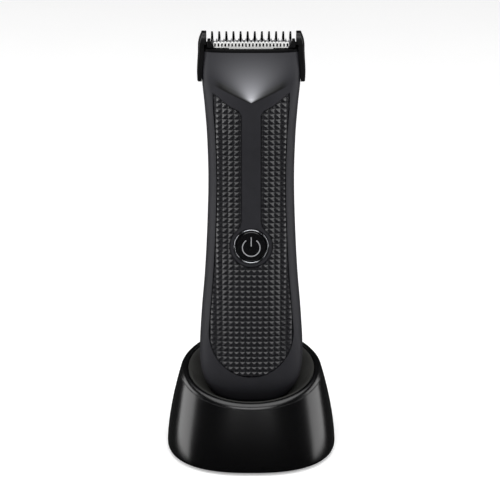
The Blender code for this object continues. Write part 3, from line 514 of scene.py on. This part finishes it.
def skin_depth(x, height, front, grow=0.0):
    """How far the skin stands before or behind the middle, at x across."""
    power = FRONT_POWER if front else BACK_POWER
    depth = front_depth(x, height, grow, brow=False) if front else back_depth(height, grow)
    return depth * (1 - min(1.0, abs(x / half_width(height, grow))) ** power) ** (1 / power)


def ring_at(height, grow=0.0, brow=True, around=96, bend=0.0):
    return [skin_point(2 * math.pi * i / around, height, grow, brow, bend) for i in range(around)]


def casing(name, heights, grow=0.0, brow=False, around=96):
    return loft(name, [ring_at(height, grow, brow, around) for height in heights])


def steps(low, high, pitch):
    count = max(1, round((high - low) / pitch))
    return [low + (high - low) * i / count for i in range(count + 1)]


def half_ellipse(half, low, high, count=12):
    """Points of a half ellipse, from (half, high) through (0, low) to (-half, high)."""
    return [
        (half * math.cos(math.pi * i / count), high - (high - low) * math.sin(math.pi * i / count))
        for i in range(count + 1)
    ]


def arc(middle, radius, start, end, count):
    """Points of an arc, angles in degrees."""
    return [
        (
            middle[0] + radius * math.cos(math.radians(start + (end - start) * i / count)),
            middle[1] + radius * math.sin(math.radians(start + (end - start) * i / count)),
        )
        for i in range(count + 1)
    ]


def grip_outline(grow=0.0):
    """The front grip: two columns beside the smooth stem, joined below the button's ring."""
    side = [(half_width(h) - GRIP_MARGIN + grow, h) for h in steps(31, 124, 4)]
    top = half_width(130) - GRIP_MARGIN - 0.5 + grow
    right = [
        *side,
        (top, 130.1 + grow),
        (8.9, 125.2 + grow),
        (STEM_HALF + 0.8, 123.4 + grow),
        (STEM_HALF - grow, 121.9),
        (STEM_HALF - grow, 77.6),
        (STEM_HALF + 0.7 - grow, 75.6),
    ]
    ring = arc((0, BUTTON_HEIGHT), RING_RADIUS - grow, 34, -84, 30)
    floor = half_ellipse(side[0][0], GRIP_BOTTOM - grow, side[0][1], 48)
    right = [*right, *ring]
    left = [(-x, h) for x, h in right[::-1]]
    return [*right, *left, *floor[-2:0:-1]]


def rear_outline(grow=0.0):
    """The rear grip: one rounded panel."""
    side = [(half_width(h) - GRIP_MARGIN + grow, h) for h in steps(31, 108, 4)]
    top = [(x, 216 - h + grow) for x, h in half_ellipse(side[-1][0], 98, 108, 36)]
    floor = half_ellipse(side[0][0], GRIP_BOTTOM + 3 - grow, side[0][1], 48)
    left = [(-x, h) for x, h in side[-2::-1]]
    return [*side, *top[1:], *left, *floor[-2:0:-1]]


# ---------------------------------------------------------------- the casing's halves

BROW_BEND = [
    (108, 0), (116, 0.35), (122, 0.85), (BROW_TIP, 1), (BROW_TIP + BROW_LEDGE, 1), (135, 0.45), (143, 0),
]


def skin_heights():
    """Rows of the skin: close together over the round lower end and the brow."""
    end = [20 * (i / 22) ** 2 for i in range(22)]
    brow = [*steps(118.8, 126.4, 0.8), *steps(126.7, 130.9, 0.2)]
    return [*end, *steps(20, 118, 1.75), *brow, *steps(131.5, CASE_TOP - RIM_BAND, 1.0), CASE_TOP - 0.7]


def shell_form(name, around=144):
    rings = [ring_at(height, 0, True, around, through(BROW_BEND, height)) for height in skin_heights()]
    rings += [ring_at(CASE_TOP - 0.7 + 0.7 * math.sin(a), 0.7 * (math.cos(a) - 1), True, around)
              for a in (math.radians(d) for d in (30, 60, 90))]
    return loft(name, rings)


def grip_pocket(outline, front):
    """The recess in the casing that a grip sits in."""
    rows = steps(5, 134, 2.5)
    layer = casing("recess outer", rows, grow=3, around=120)
    core = casing("recess core", [3, *rows, 138], grow=-GRIP_SUNK - GAP, around=120)
    across = (-20, -2.5) if front else (2.5, 20)
    keep(layer, plate("recess outline", [outline(GRIP_GAP)], *across))
    return cut(layer, core)


def case_half(name, front):
    half = shell_form(name)
    if front:
        keep(half, box("front side", (-40, -30, -10), (40, SEAM - GAP / 2, 170)))
    else:
        keep(half, box("rear side", (-40, SEAM + GAP / 2, -10), (40, 30, 170)))
    cavity = casing("cavity", [2.0, 2.6, 3.6, 5, 7, *steps(10, 150, 5)], grow=-WALL)
    rings = [[(x * 5.3, y * 3.9, height) for x, y in arc((0, 0), 1, 0, 355, 71)] for height in (-2, 6)]
    pocket = grip_pocket(grip_outline if front else rear_outline, front)
    return cut(half, cavity, pocket, loft("contact opening", rings))


def front_shell():
    at = BUTTON_HEIGHT
    shell = case_half("front_casing", True)
    floor = rod("button floor", RING_RADIUS - 0.5, (0, -11.0, at), (0, -10, at), 72)
    join(shell, floor)
    cut(
        shell,
        rod("bezel pocket", BEZEL_RADIUS + 0.15, (0, -20, at), (0, -11, at), 96),
        rod("stem hole", 2.5, (0, -20, at), (0, -9, at)),
        rod("lamp hole", 0.85, (0, LAMP_Y, 118.6), (0, LAMP_Y, 132)),
    )
    piece(shell, "handle", CASING, ["front_shell"])
    paint_rim_shade(shell)


def rear_shell():
    shell = case_half("rear_casing", False)
    sinks = [rod(f"screw sink {x}", 2.0, (x, 4.4, height), (x, 20, height)) for x, height in CASE_SCREWS[:2]]
    cut(shell, *sinks)
    piece(shell, "handle", CASING, ["rear_shell"])
    paint_rim_shade(shell)


def paint_rim_shade(shell):
    """The rim round the blade head takes a near-black second material: painted shade under the blade head."""
    shell.data.materials.append(RIM_PAINTED_SHADE)
    up = GROOMER.to_3x3() @ Vector((0, 0, 1))
    top = (GROOMER @ (Vector((0, 0, CASE_TOP)) * MM)).dot(up) - (RIM_BAND - 0.1) * MM
    for face in shell.data.polygons:
        if face.center.dot(up) > top:
            face.material_index = 1


# ---------------------------------------------------------------- grips

def knob_samples(low, high, pitch):
    """Places across a row of pyramids, and whether each is on a pyramid's top."""
    groove, flat = KNOB_GROOVE / 2, KNOB_FLAT / 2
    first = math.ceil(low / pitch)
    samples = []
    for k in range(first, int(high / pitch)):
        middle = (k + 0.5) * pitch
        samples += [(middle - pitch / 2 + groove, 0), (middle - flat, 1)]
        samples += [(middle + flat, 1), (middle + pitch / 2 - groove, 0)]
    return samples


def knurled(name, outline, front):
    """A rubber panel with a field of square pyramids, cut to its outline."""
    columns = knob_samples(-18.8, 18.8, KNOB_ACROSS)
    rows = knob_samples(8, 134, KNOB_ALONG)
    sign = -1 if front else 1
    bm = bmesh.new()

    def sheet(height_at):
        grid = []
        for height, tall in rows:
            limit = half_width(height) - GRIP_MARGIN + 1.4
            line = []
            for x, wide in columns:
                x = max(-limit, min(limit, x))
                y = sign * (skin_depth(x, height, front) + height_at(tall, wide))
                line.append(bm.verts.new(Vector((x, y, height)) * MM))
            grid.append(line)
        return grid

    top = sheet(lambda tall, wide: KNOB_HEIGHT * min(tall, wide) - 0.05)
    under = sheet(lambda tall, wide: -GRIP_SUNK)
    for r in range(len(rows) - 1):
        for c in range(len(columns) - 1):
            a, b, d, e = top[r][c], top[r][c + 1], top[r + 1][c + 1], top[r + 1][c]
            if (rows[r][1] + columns[c][1]) % 2 == 0:
                bm.faces.new((a, b, d))
                bm.faces.new((a, d, e))
            else:
                bm.faces.new((a, b, e))
                bm.faces.new((b, d, e))
            bm.faces.new((under[r][c], under[r + 1][c], under[r + 1][c + 1], under[r][c + 1]))
    for r in range(len(rows) - 1):
        for c in (0, len(columns) - 1):
            bm.faces.new((top[r][c], top[r + 1][c], under[r + 1][c], under[r][c]))
    for c in range(len(columns) - 1):
        for r in (0, len(rows) - 1):
            bm.faces.new((top[r][c], top[r][c + 1], under[r][c + 1], under[r][c]))
    panel = from_bmesh(name, bm)
    across = (-20, -2.5) if front else (2.5, 20)
    return keep(panel, plate(f"{name} outline", [outline()], *across))


def grips():
    piece(knurled("front_knurl", grip_outline, True), "handle", RUBBER, ["front_grip"], sharp=25)
    piece(knurled("rear_knurl", rear_outline, False), "handle", RUBBER, ["rear_grip"], sharp=25)


# ---------------------------------------------------------------- button

def power_button():
    at = (0, 0, BUTTON_HEIGHT)
    front = (0, -1, 0)
    cap = [
        (0, 13.02), (2.0, 13.03), (4.4, 13.07), (5.3, 13.12), (5.75, 13.12), (6.02, 13.03), (6.17, 12.85),
        (BUTTON_RADIUS, 12.6), (BUTTON_RADIUS, 11.8), (2.2, 11.8), (2.2, 8.8), (0, 8.8),
    ]
    piece(turned("button_cap", cap, at, front, 96), "button", GLOSS, ["power_button"])
    inner, outer = BUTTON_RADIUS + GAP, BEZEL_RADIUS - 0.1
    middle, round_off = (inner + outer) / 2, (outer - inner) / 2
    turns = [math.radians(d) for d in range(0, 181, 20)]
    crown = [(middle + round_off * math.cos(a), 13.1 + 0.4 * math.sin(a)) for a in turns]
    ring = [(outer, 11.3), *crown, (inner, 11.3)]
    piece(turned("bezel_ring", ring, at, front, 120, ring=True), "handle", CHROME, ["button_bezel"])
    middle = (0, BUTTON_HEIGHT - 0.5)
    outer_arc = arc(middle, ICON_RADIUS + ICON_STROKE / 2, 125, 415, 64)
    inner_arc = arc(middle, ICON_RADIUS - ICON_STROKE / 2, 415, 125, 64)
    ends = (-13.11, -13.0)
    icon = plate("icon_ring", [[*outer_arc, *inner_arc]], *ends)
    low, high = BUTTON_HEIGHT + 0.2, BUTTON_HEIGHT + 3.7
    bar_half = ICON_STROKE / 2
    bar = [*arc((0, low), bar_half, 180, 360, 8), *arc((0, high), bar_half, 0, 180, 8)]
    join(icon, plate("icon_bar", [bar], ends[0], ends[1]))
    icon.name = "power_icon"
    piece(icon, "button", ICON)


# ---------------------------------------------------------------- blade head

def screw_head(name, radius, tall, at, axis, socket, body, nodes, shaft, leaning=True):
    """A pan-head screw with a hexagonal socket. Shaft gives its radius and length."""
    core, length = shaft
    profile = [
        (0, tall), (radius * 0.55, tall), (radius * 0.85, tall * 0.9), (radius * 0.97, tall * 0.65),
        (radius, tall * 0.4), (radius, 0), (core, 0), (core, -length), (core * 0.4, -length - core),
        (0, -length - core),
    ]
    screw = turned(name, profile, at, axis, 36)
    start = Vector(at) + Vector(axis) * tall * 0.35
    cut(screw, rod(f"{name} socket", socket, start, Vector(at) + Vector(axis) * (tall + 1), 6))
    piece(screw, body, STEEL, nodes, leaning)


def head_housing():
    mouth = ring_at(CASE_TOP, -WALL - GAP, False, 120)
    heights = [HEAD_LOW, HEAD_LOW + 0.5, *steps(HEAD_LOW + 2, CASE_TOP + 0.8, 2.5)]
    housing = loft("blade_carrier", [[(x, y, height) for x, y, _ in mouth] for height in heights])
    cut(
        housing,
        rod("drive bore", 3.4, (0, DRIVE_DEPTH, HEAD_LOW - 2), (0, DRIVE_DEPTH, CASE_TOP + 5)),
        box("cutter room", (-30, -9, 141), (30, -1.8, 160)),
    )
    join(housing, box("head bed", (-17.4, -1.65, CASE_TOP + GAP), (17.4, 4.6, 149.6), 0.35))
    for side in (-1, 1):
        low, high = sorted((side * 16.6, side * 17.9))
        join(housing, box(f"cheek {side}", (low, -4.1, CASE_TOP + GAP + 0.2), (high, 4.2, 151.0), 0.3))
        corner = [(17.7, CASE_TOP + 0.5), (14.8, CASE_TOP + 0.5), (16.3, 150.5), (16.6, 150.9), (17.7, 150.9)]
        corner = [(side * x, height) for x, height in corner]
        join(housing, plate(f"corner {side}", [corner], -4.5, -4.05))
    cut(
        housing,
        box("yoke room", (-6.6, -3.3, 139.6), (6.6, 4.3, 145.1)),
        box("spring room", (-10.3, 2.0, 139.9), (10.3, 3.7, 143.6)),
    )
    for x in (-11.5, 11.5):
        hole = rod("screw hole", 1.0, (x, -6, 147), (x, 8, 147))
        cut(housing, hole, rod("screw sink", 1.9, (x, 2.3, 147), (x, 9, 147)))
    piece(housing, "blade_head", COMB, ["head_housing"])
    for side, x in (("left", -11.5), ("right", 11.5)):
        at = (x, 2.7, 147)
        screw_head(f"blade_fixing_{side}", 1.5, 0.9, at, (0, 1, 0), 0.75, "blade_head",
                   [f"blade_screw_{side}"], (0.7, 4.6))


def toothed(half, foot_half, foot, root, tip, count, narrow=0.15):
    """A blade's outline: pointed teeth along its upper edge, and a narrower foot below the casing's top."""
    shoulder = CASE_TOP + GAP
    pitch = 2 * half / count
    teeth = []
    for i in range(count):
        middle = half - (i + 0.5) * pitch
        teeth += [(middle + 0.42 * pitch, root), (middle + narrow, tip - 0.08), (middle, tip)]
        teeth += [(middle - narrow, tip - 0.08), (middle - 0.42 * pitch, root)]
    right = [(foot_half, foot), (foot_half, shoulder), (half, shoulder)]
    return [*right, *teeth, *[(-x, height) for x, height in right[::-1]]]


def blades():
    holes = [arc((x, 147), 1.0, 0, 345, 23) for x in (-11.5, 11.5)]
    pitch = 2 * CUTTER_HALF / BLADE_TEETH
    slots = []
    for i in range(BLADE_TEETH):
        x = (i - (BLADE_TEETH - 1) / 2) * pitch
        low, high = (x - SLOT_HALF, SLOT_LOW), (x + SLOT_HALF, SLOT_HIGH)
        slots.append([low, (high[0], low[1]), high, (low[0], high[1])])
    fixed = toothed(BLADE_HALF, 13.4, 145.8, 150.4, BLADE_TIP, BLADE_TEETH)
    fixed = plate("comb_blade", [fixed, *holes, *slots], *FIXED_Y, soft=0.06)
    piece(fixed, "blade_head", BLADE_STEEL, ["fixed_blade"])
    moving = toothed(CUTTER_HALF, 9, 142, 150.45, 150.9, BLADE_TEETH)
    moving = plate("cutter_blade", [moving, *slots], *MOVING_Y, soft=0.05)
    piece(moving, "cutter", CERAMIC, ["moving_blade"])


# ---------------------------------------------------------------- comb guard

def rib_bank():
    """All the comb's ribs. Each rises from the band, and arches forward over the blades."""
    bm = bmesh.new()
    for i in range(RIB_COUNT):
        middle = (i - (RIB_COUNT - 1) / 2) * RIB_PITCH
        root = skin_point(math.radians(-90), 147, COMB_OUTER)[1]
        share = abs(middle) / half_width(147, COMB_OUTER)
        foot = root * (1 - share**BACK_POWER) ** (1 / BACK_POWER) - root
        profile = [
            (7.7 + foot, 145.3), (9.2 + foot, 145.3), (9.2 + foot, 149.2), (8.2 + 0.8 * foot, 151.2),
            (5.8 + 0.4 * foot, 153.1), (2.2, COMB_TIP - 0.2), (0.2, COMB_TIP), (-0.8, COMB_TIP - 0.5),
            (-0.9, COMB_TIP - 1.3), (1.0, 152.8), (3.6, 152.0), (6.0 + 0.6 * foot, 150.5),
            (7.4 + 0.9 * foot, 148.6),
        ]
        sides = []
        for side in (-1, 1):
            half = [0.78 - 0.045 * (height - 145) for _, height in profile]
            outline = [(middle + side * w, y, z) for w, (y, z) in zip(half, profile)]
            sides.append([bm.verts.new(Vector(point) * MM) for point in outline])
        bm.faces.new(sides[0])
        bm.faces.new(sides[1][::-1])
        for k in range(len(profile)):
            j = (k + 1) % len(profile)
            bm.faces.new((sides[0][k], sides[1][k], sides[1][j], sides[0][j]))
    return rounded(from_bmesh("comb ribs", bm), 0.16, 2, 50)


def comb_guard():
    band = casing("comb", steps(COMB_LOW, COMB_BAND_TOP, 1.5), grow=COMB_OUTER, around=160)
    rounded(band, 0.15, 2, 50)
    join(band, rib_bank())
    horn = [
        (-3.6, 147.2), (-3.7, 150), (-3.65, 152), (-3.4, 153.3), (-2.7, 154.2), (-1.4, COMB_TIP + 0.2),
        (0.8, COMB_TIP + 0.3), (2.2, COMB_TIP), (3.9, 153.6), (5.2, 152.9), (6.2, 151), (6.6, 147.2),
    ]
    for side in (-1, 1):
        low, high = sorted((side * 18.3, side * 23))
        skin = [
            [(x, y, height) for x, y, _ in ring_at(min(height, CASE_TOP), grow, False, 160)]
            for height, grow in HORN_TAPER
        ]
        tall = keep(plate(f"horn {side}", [horn], low, high, facing="X"), loft(f"horn skin {side}", skin))
        join(band, rounded(tall, 0.4, 3, 40))
    cut(
        band,
        casing("comb bore", [130, *steps(132, COMB_BAND_TOP + 0.1, 2)], grow=COMB_INNER, around=160),
        box("comb front", (-30, -30, 120), (30, -3.6, COMB_BAND_TOP)),
        box("comb window", (-14.5, 0, 120), (14.5, 30, 141), 0.8),
    )
    band.name = "comb_shell"
    piece(band, "comb", COMB, ["comb_guard"])


# ---------------------------------------------------------------- dock

def to_world(point):
    """A point of the leaning groomer, in the dock's frame, in mm."""
    return tuple(GROOMER @ (Vector(point) * MM) / MM)


def rim_height(y):
    return RIM_MIDDLE[1] + RIM_SLOPE * (y - RIM_MIDDLE[0])


def power_cos(value, power):
    return math.copysign(abs(value) ** (2 / power), value)


def dock_ring(share, inset=0.0, drop=0.0, count=160):
    """A level of the dock's outer wall, from 0 at its foot to 1 at its rim."""
    pull = share**WALL_BULGE
    half = DOCK_HALF + (RIM_HALF - DOCK_HALF) * pull - inset
    depth = DOCK_DEPTH + (RIM_DEPTH - DOCK_DEPTH) * pull - inset
    power = FOOT_POWER + (RIM_POWER - FOOT_POWER) * pull
    ring = []
    for i in range(count):
        angle = 2 * math.pi * i / count
        along = -depth * power_cos(math.sin(angle), power)
        height = DOCK_BOTTOM + (RIM_MIDDLE[1] - DOCK_BOTTOM) * share + RIM_SLOPE * share * along
        ring.append((half * power_cos(math.cos(angle), power), RIM_MIDDLE[0] * share + along, height - drop))
    return ring


def dock_shell():
    lip = DOCK_WALL / 2
    turns = [math.radians(d) for d in range(0, 91, 15)]
    foot = [dock_ring(0.035 * (1 - math.cos(a)), 1.2 * (1 - math.sin(a))) for a in turns]
    wall = [dock_ring(s) for s in steps(0.06, 0.945, 0.035)]
    roll = [dock_ring(0.965 + 0.035 * math.sin(a / 2), lip * (1 - math.cos(a)), lip * (1 - math.sin(a)) * 0.6)
            for a in (math.radians(d) for d in range(10, 181, 17))]
    inner = [dock_ring(s, DOCK_WALL) for s in steps(0.04, 0.9, 0.08)[::-1]]
    shell = loft("dock_body", [*foot, *wall, *roll, *inner, dock_ring(0, DOCK_WALL + 0.4)], closed=True)
    cut(shell, box("inlet opening", (-5.3, 22, 4.9), (5.3, 40, 9.1), 1.4))
    piece(shell, "dock", DOCK_GLOSS, ["dock_shell"], leaning=False, sharp=40)


def mouth_height(angle, grow, depth):
    """How far up the groomer the pocket's mouth lies, at an angle round it."""
    low, high = -0.4, 40.0
    for _ in range(30):
        middle = (low + high) / 2
        _, y, z = to_world(skin_point(angle, middle, grow, brow=False))
        if z < rim_height(y) - depth:
            low = middle
        else:
            high = middle
    return (low + high) / 2


def pocket_ring(share, grow, floor, depth, count=160):
    """A level of the pocket, from 0 at its floor to 1 at its mouth."""
    ring = []
    for i in range(count):
        angle = 2 * math.pi * i / count
        top = max(floor + 1.0, mouth_height(angle, grow, depth))
        height = floor + (top - floor) * share
        x, y, _ = skin_point(angle, max(height, 0.0), grow, brow=False)
        ring.append(to_world((x, y, height)))
    return ring


def between(ring, other, share, sink=0.0):
    return [
        (a[0] + (b[0] - a[0]) * share, a[1] + (b[1] - a[1]) * share, a[2] + (b[2] - a[2]) * share - sink)
        for a, b in zip(ring, other)
    ]


def dock_cradle():
    floor = -POCKET_PLAY
    shares = [(i / 14) ** 1.5 for i in range(15)]
    pocket = [pocket_ring(s, POCKET_PLAY, floor, DISH_DEPTH) for s in shares]
    thick = POCKET_PLAY + DISH_WALL
    under = [pocket_ring(s, thick, -thick, DISH_DEPTH + 1.2) for s in steps(0, 1, 0.2)]
    edge = dock_ring(1, DOCK_WALL + GAP, 0.6)
    lip = dock_ring(1, DOCK_WALL + GAP + 0.9, 0.9)
    low_edge = dock_ring(1, DOCK_WALL + GAP + 0.35, 3.0)
    low_lip = dock_ring(1, DOCK_WALL + GAP + 2.6, 3.6)
    dish = [between(pocket[-1], lip, t, 0.9 * math.sin(math.pi * t)) for t in steps(0, 1, 0.1)[1:]]
    low_dish = between(low_lip, under[-1], 0.5)
    cradle = loft("dock_dish", [*pocket, *dish, edge, low_edge, low_lip, low_dish, *under[::-1]])
    for x in (-CONTACT_REACH, CONTACT_REACH):
        hole = rod("pin hole", 1.1, (x, 0, -6), (x, 0, 3))
        hole.data.transform(GROOMER)
        cut(cradle, hole)
    piece(cradle, "dock", DOCK_SATIN, ["dock_cradle"], leaning=False, sharp=40)


def dock_base():
    floor_ring = dock_ring(0, DOCK_WALL + 0.4 + GAP)
    levels = [(0.985, 1.0), (0.995, 1.12), (1.0, 1.4), (1.0, 3.0)]
    rings = [[(x * share, y * share, up) for x, y, _ in floor_ring] for share, up in levels]
    base = loft("dock_floor", rings)
    for x, y in DOCK_SCREWS:
        cut(base, rod("base hole", 1.3, (x, y, 0), (x, y, 5)), rod("base sink", 2.3, (x, y, 0), (x, y, 2.2)))
    piece(base, "dock", DOCK_SATIN, ["dock_base_plate"], leaning=False)
    levels = [(PAD_SHARE - 0.012, 0), (PAD_SHARE - 0.002, 0.08), (PAD_SHARE, 0.25), (PAD_SHARE, 0.7)]
    pad = loft("foot_pad", [[(x * share, y * share, up) for x, y, _ in floor_ring] for share, up in levels])
    piece(pad, "dock", DOCK_RUBBER, ["dock_foot_pad"], leaning=False)
    for i, (x, y) in enumerate(DOCK_SCREWS, 1):
        screw_head(f"dock_fixing_{i}", 2.0, 0.85, (x, y, 1.95), (0, 0, -1), 1.0, "dock",
                   [f"dock_screw_{i}"], (0.9, 6.6), leaning=False)


def dock_inlet():
    def oblong(half, tall, at):
        middle = 7.0
        right = arc((half - tall, middle), tall, -90, 90, 12)
        left = arc((-half + tall, middle), tall, 90, 270, 12)
        return [(x, at, z) for x, z in [*right, *left]]

    bore = [oblong(4.4, 1.3, 24), oblong(4.4, 1.3, 31.0), oblong(4.55, 1.45, 31.3)]
    rings = [*bore, oblong(4.85, 1.65, 31.4), oblong(5.0, 1.8, 31.2), oblong(5.0, 1.8, 21.5)]
    sleeve = loft("inlet_sleeve", rings)
    piece(sleeve, "dock", STEEL, ["dock_inlet"], leaning=False)
    tongue = box("inlet_tongue_blade", (-3.3, 24.3, 6.65), (3.3, 30.6, 7.35), 0.15)
    piece(tongue, "dock", PLASTIC, ["inlet_tongue"], leaning=False)


# ---------------------------------------------------------------- contacts and screws

def contacts():
    for side, x in (("left", -CONTACT_REACH), ("right", CONTACT_REACH)):
        turns = [math.radians(d) for d in range(0, 91, 15)]
        dome = [(0.75 * math.sin(a), 4.6 + 0.6 * math.cos(a)) for a in turns]
        pin = turned(f"spring_pin_{side}", [*dome, (0.75, 0), (0, 0)], (x, 0, -5.4), (0, 0, 1), 32)
        piece(pin, f"pin_{side}", GOLD, [f"charge_pin_{side}"])
        stud_profile = [(0, 0.1), (0.9, 0.1), (1.04, 0.16), (1.1, 0.3), (1.1, 3.4), (0, 3.4)]
        stud = turned(f"contact_stud_{side}", stud_profile, (x, 0, 0), (0, 0, 1), 40)
        piece(stud, "handle", GOLD, [f"charge_contact_{side}"])
    for i, (x, height) in enumerate(CASE_SCREWS, 1):
        screw_head(f"case_fixing_{i}", 1.7, 1.5, (x, 4.7, height), (0, 1, 0), 0.85, "handle",
                   [f"case_screw_{i}"], (0.75, 8.2))


# ---------------------------------------------------------------- inner pieces that stay as they are

INNER_LOOKS = {
    PLASTIC: ["pin_barrel_left", "pin_barrel_right", "contact_plate", "switch_body", "control_chip",
              "battery_carrier", "motor_end_cap", "motor_mount", "switch_plunger", "crank_cam", "cutter_yoke",
              "dock_lead_black"],
    BOARD: ["dock_pcb", "main_pcb", "work_light_led"],
    STEEL: ["battery_tab_lower", "battery_tab_upper", "motor_can", "motor_shaft", "blade_spring"],
    RUBBER: ["button_seal", "drive_seal"],
    SLEEVE: ["battery_cell"],
    LENS: ["work_light_lens", "status_led"],
    RED: ["dock_lead_red"],
}


def dress_inner_pieces():
    for look, names in INNER_LOOKS.items():
        for name in names:
            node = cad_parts[name]
            if not node.material_slots:
                node.data.materials.append(look)
            for held in node.material_slots:
                held.material = look


# ---------------------------------------------------------------- floor, light and camera

def floor_look():
    """A near-white floor that glows a little, so that its far side doesn't fall off to grey."""
    made = new_look("pale floor", (0.9, 0.9, 0.9), 0.75, spread=0.01, patch=0.05, bump=0.0)
    shader = made.node_tree.nodes["Principled BSDF"]
    shader.inputs["Emission Color"].default_value = (1, 1, 1, 1)
    shader.inputs["Emission Strength"].default_value = 0.35
    return made


def studio_floor():
    bm = bmesh.new()
    bmesh.ops.create_grid(bm, x_segments=8, y_segments=8, size=3)
    ground = from_bmesh("studio_floor", bm)
    ground.data.materials.append(floor_look())
    ground.visible_glossy = False


def softbox(name, middle, aim, size, power, color=(1, 1, 1)):
    light = bpy.data.lights.new(name, "AREA")
    light.shape = "RECTANGLE"
    light.size, light.size_y = size
    light.energy = power
    light.color = color
    holder = bpy.data.objects.new(name, light)
    bpy.context.scene.collection.objects.link(holder)
    holder.location = middle
    holder.rotation_euler = (Vector(aim) - Vector(middle)).to_track_quat("-Z", "Y").to_euler()


def round_about(azimuth, elevation, distance, height):
    """A place round the object: azimuth 0 is in front of it, and 90 degrees on its right."""
    a, e = math.radians(azimuth), math.radians(elevation)
    flat = distance * math.cos(e)
    return (flat * math.sin(a), -flat * math.cos(a), height + distance * math.sin(e))


def studio():
    world = bpy.data.worlds.new("studio")
    world.use_nodes = True
    world.node_tree.nodes["Background"].inputs["Color"].default_value = (1, 1, 1, 1)
    world.node_tree.nodes["Background"].inputs["Strength"].default_value = 0.03
    bpy.context.scene.world = world
    middle = (0, 0, 0.06)
    softbox("left_box", round_about(-97, 12, 0.75, 0.05), middle, (0.5, 0.7), 4.0)
    softbox("right_box", round_about(97, 12, 0.75, 0.05), middle, (0.5, 0.7), 3.4)
    softbox("top_box", round_about(0, 84, 1.3, 0.05), middle, (1.3, 1.0), 12)
    softbox("front_fill", round_about(0, 40, 1.5, 0.05), middle, (1.1, 0.5), 8)


def camera():
    lens, sensor, frame_width = 240, 36, 0.205
    elevation = math.radians(22.5)
    target = Vector((-0.0005, 0, 0.0863))
    eye = bpy.data.cameras.new("camera")
    eye.lens = lens
    eye.sensor_width = sensor
    eye.clip_start = 0.05
    holder = bpy.data.objects.new("camera", eye)
    bpy.context.scene.collection.objects.link(holder)
    away = Vector((0, -math.cos(elevation), math.sin(elevation)))
    holder.location = target + away * (frame_width * lens / sensor)
    holder.rotation_euler = (math.pi / 2 - elevation, 0, 0)
    bpy.context.scene.camera = holder


bpy.context.scene.view_settings.view_transform = "Standard"
front_shell()
rear_shell()
grips()
power_button()
head_housing()
blades()
comb_guard()
dock_shell()
dock_cradle()
dock_base()
dock_inlet()
contacts()
dress_inner_pieces()
studio_floor()
studio()
camera()
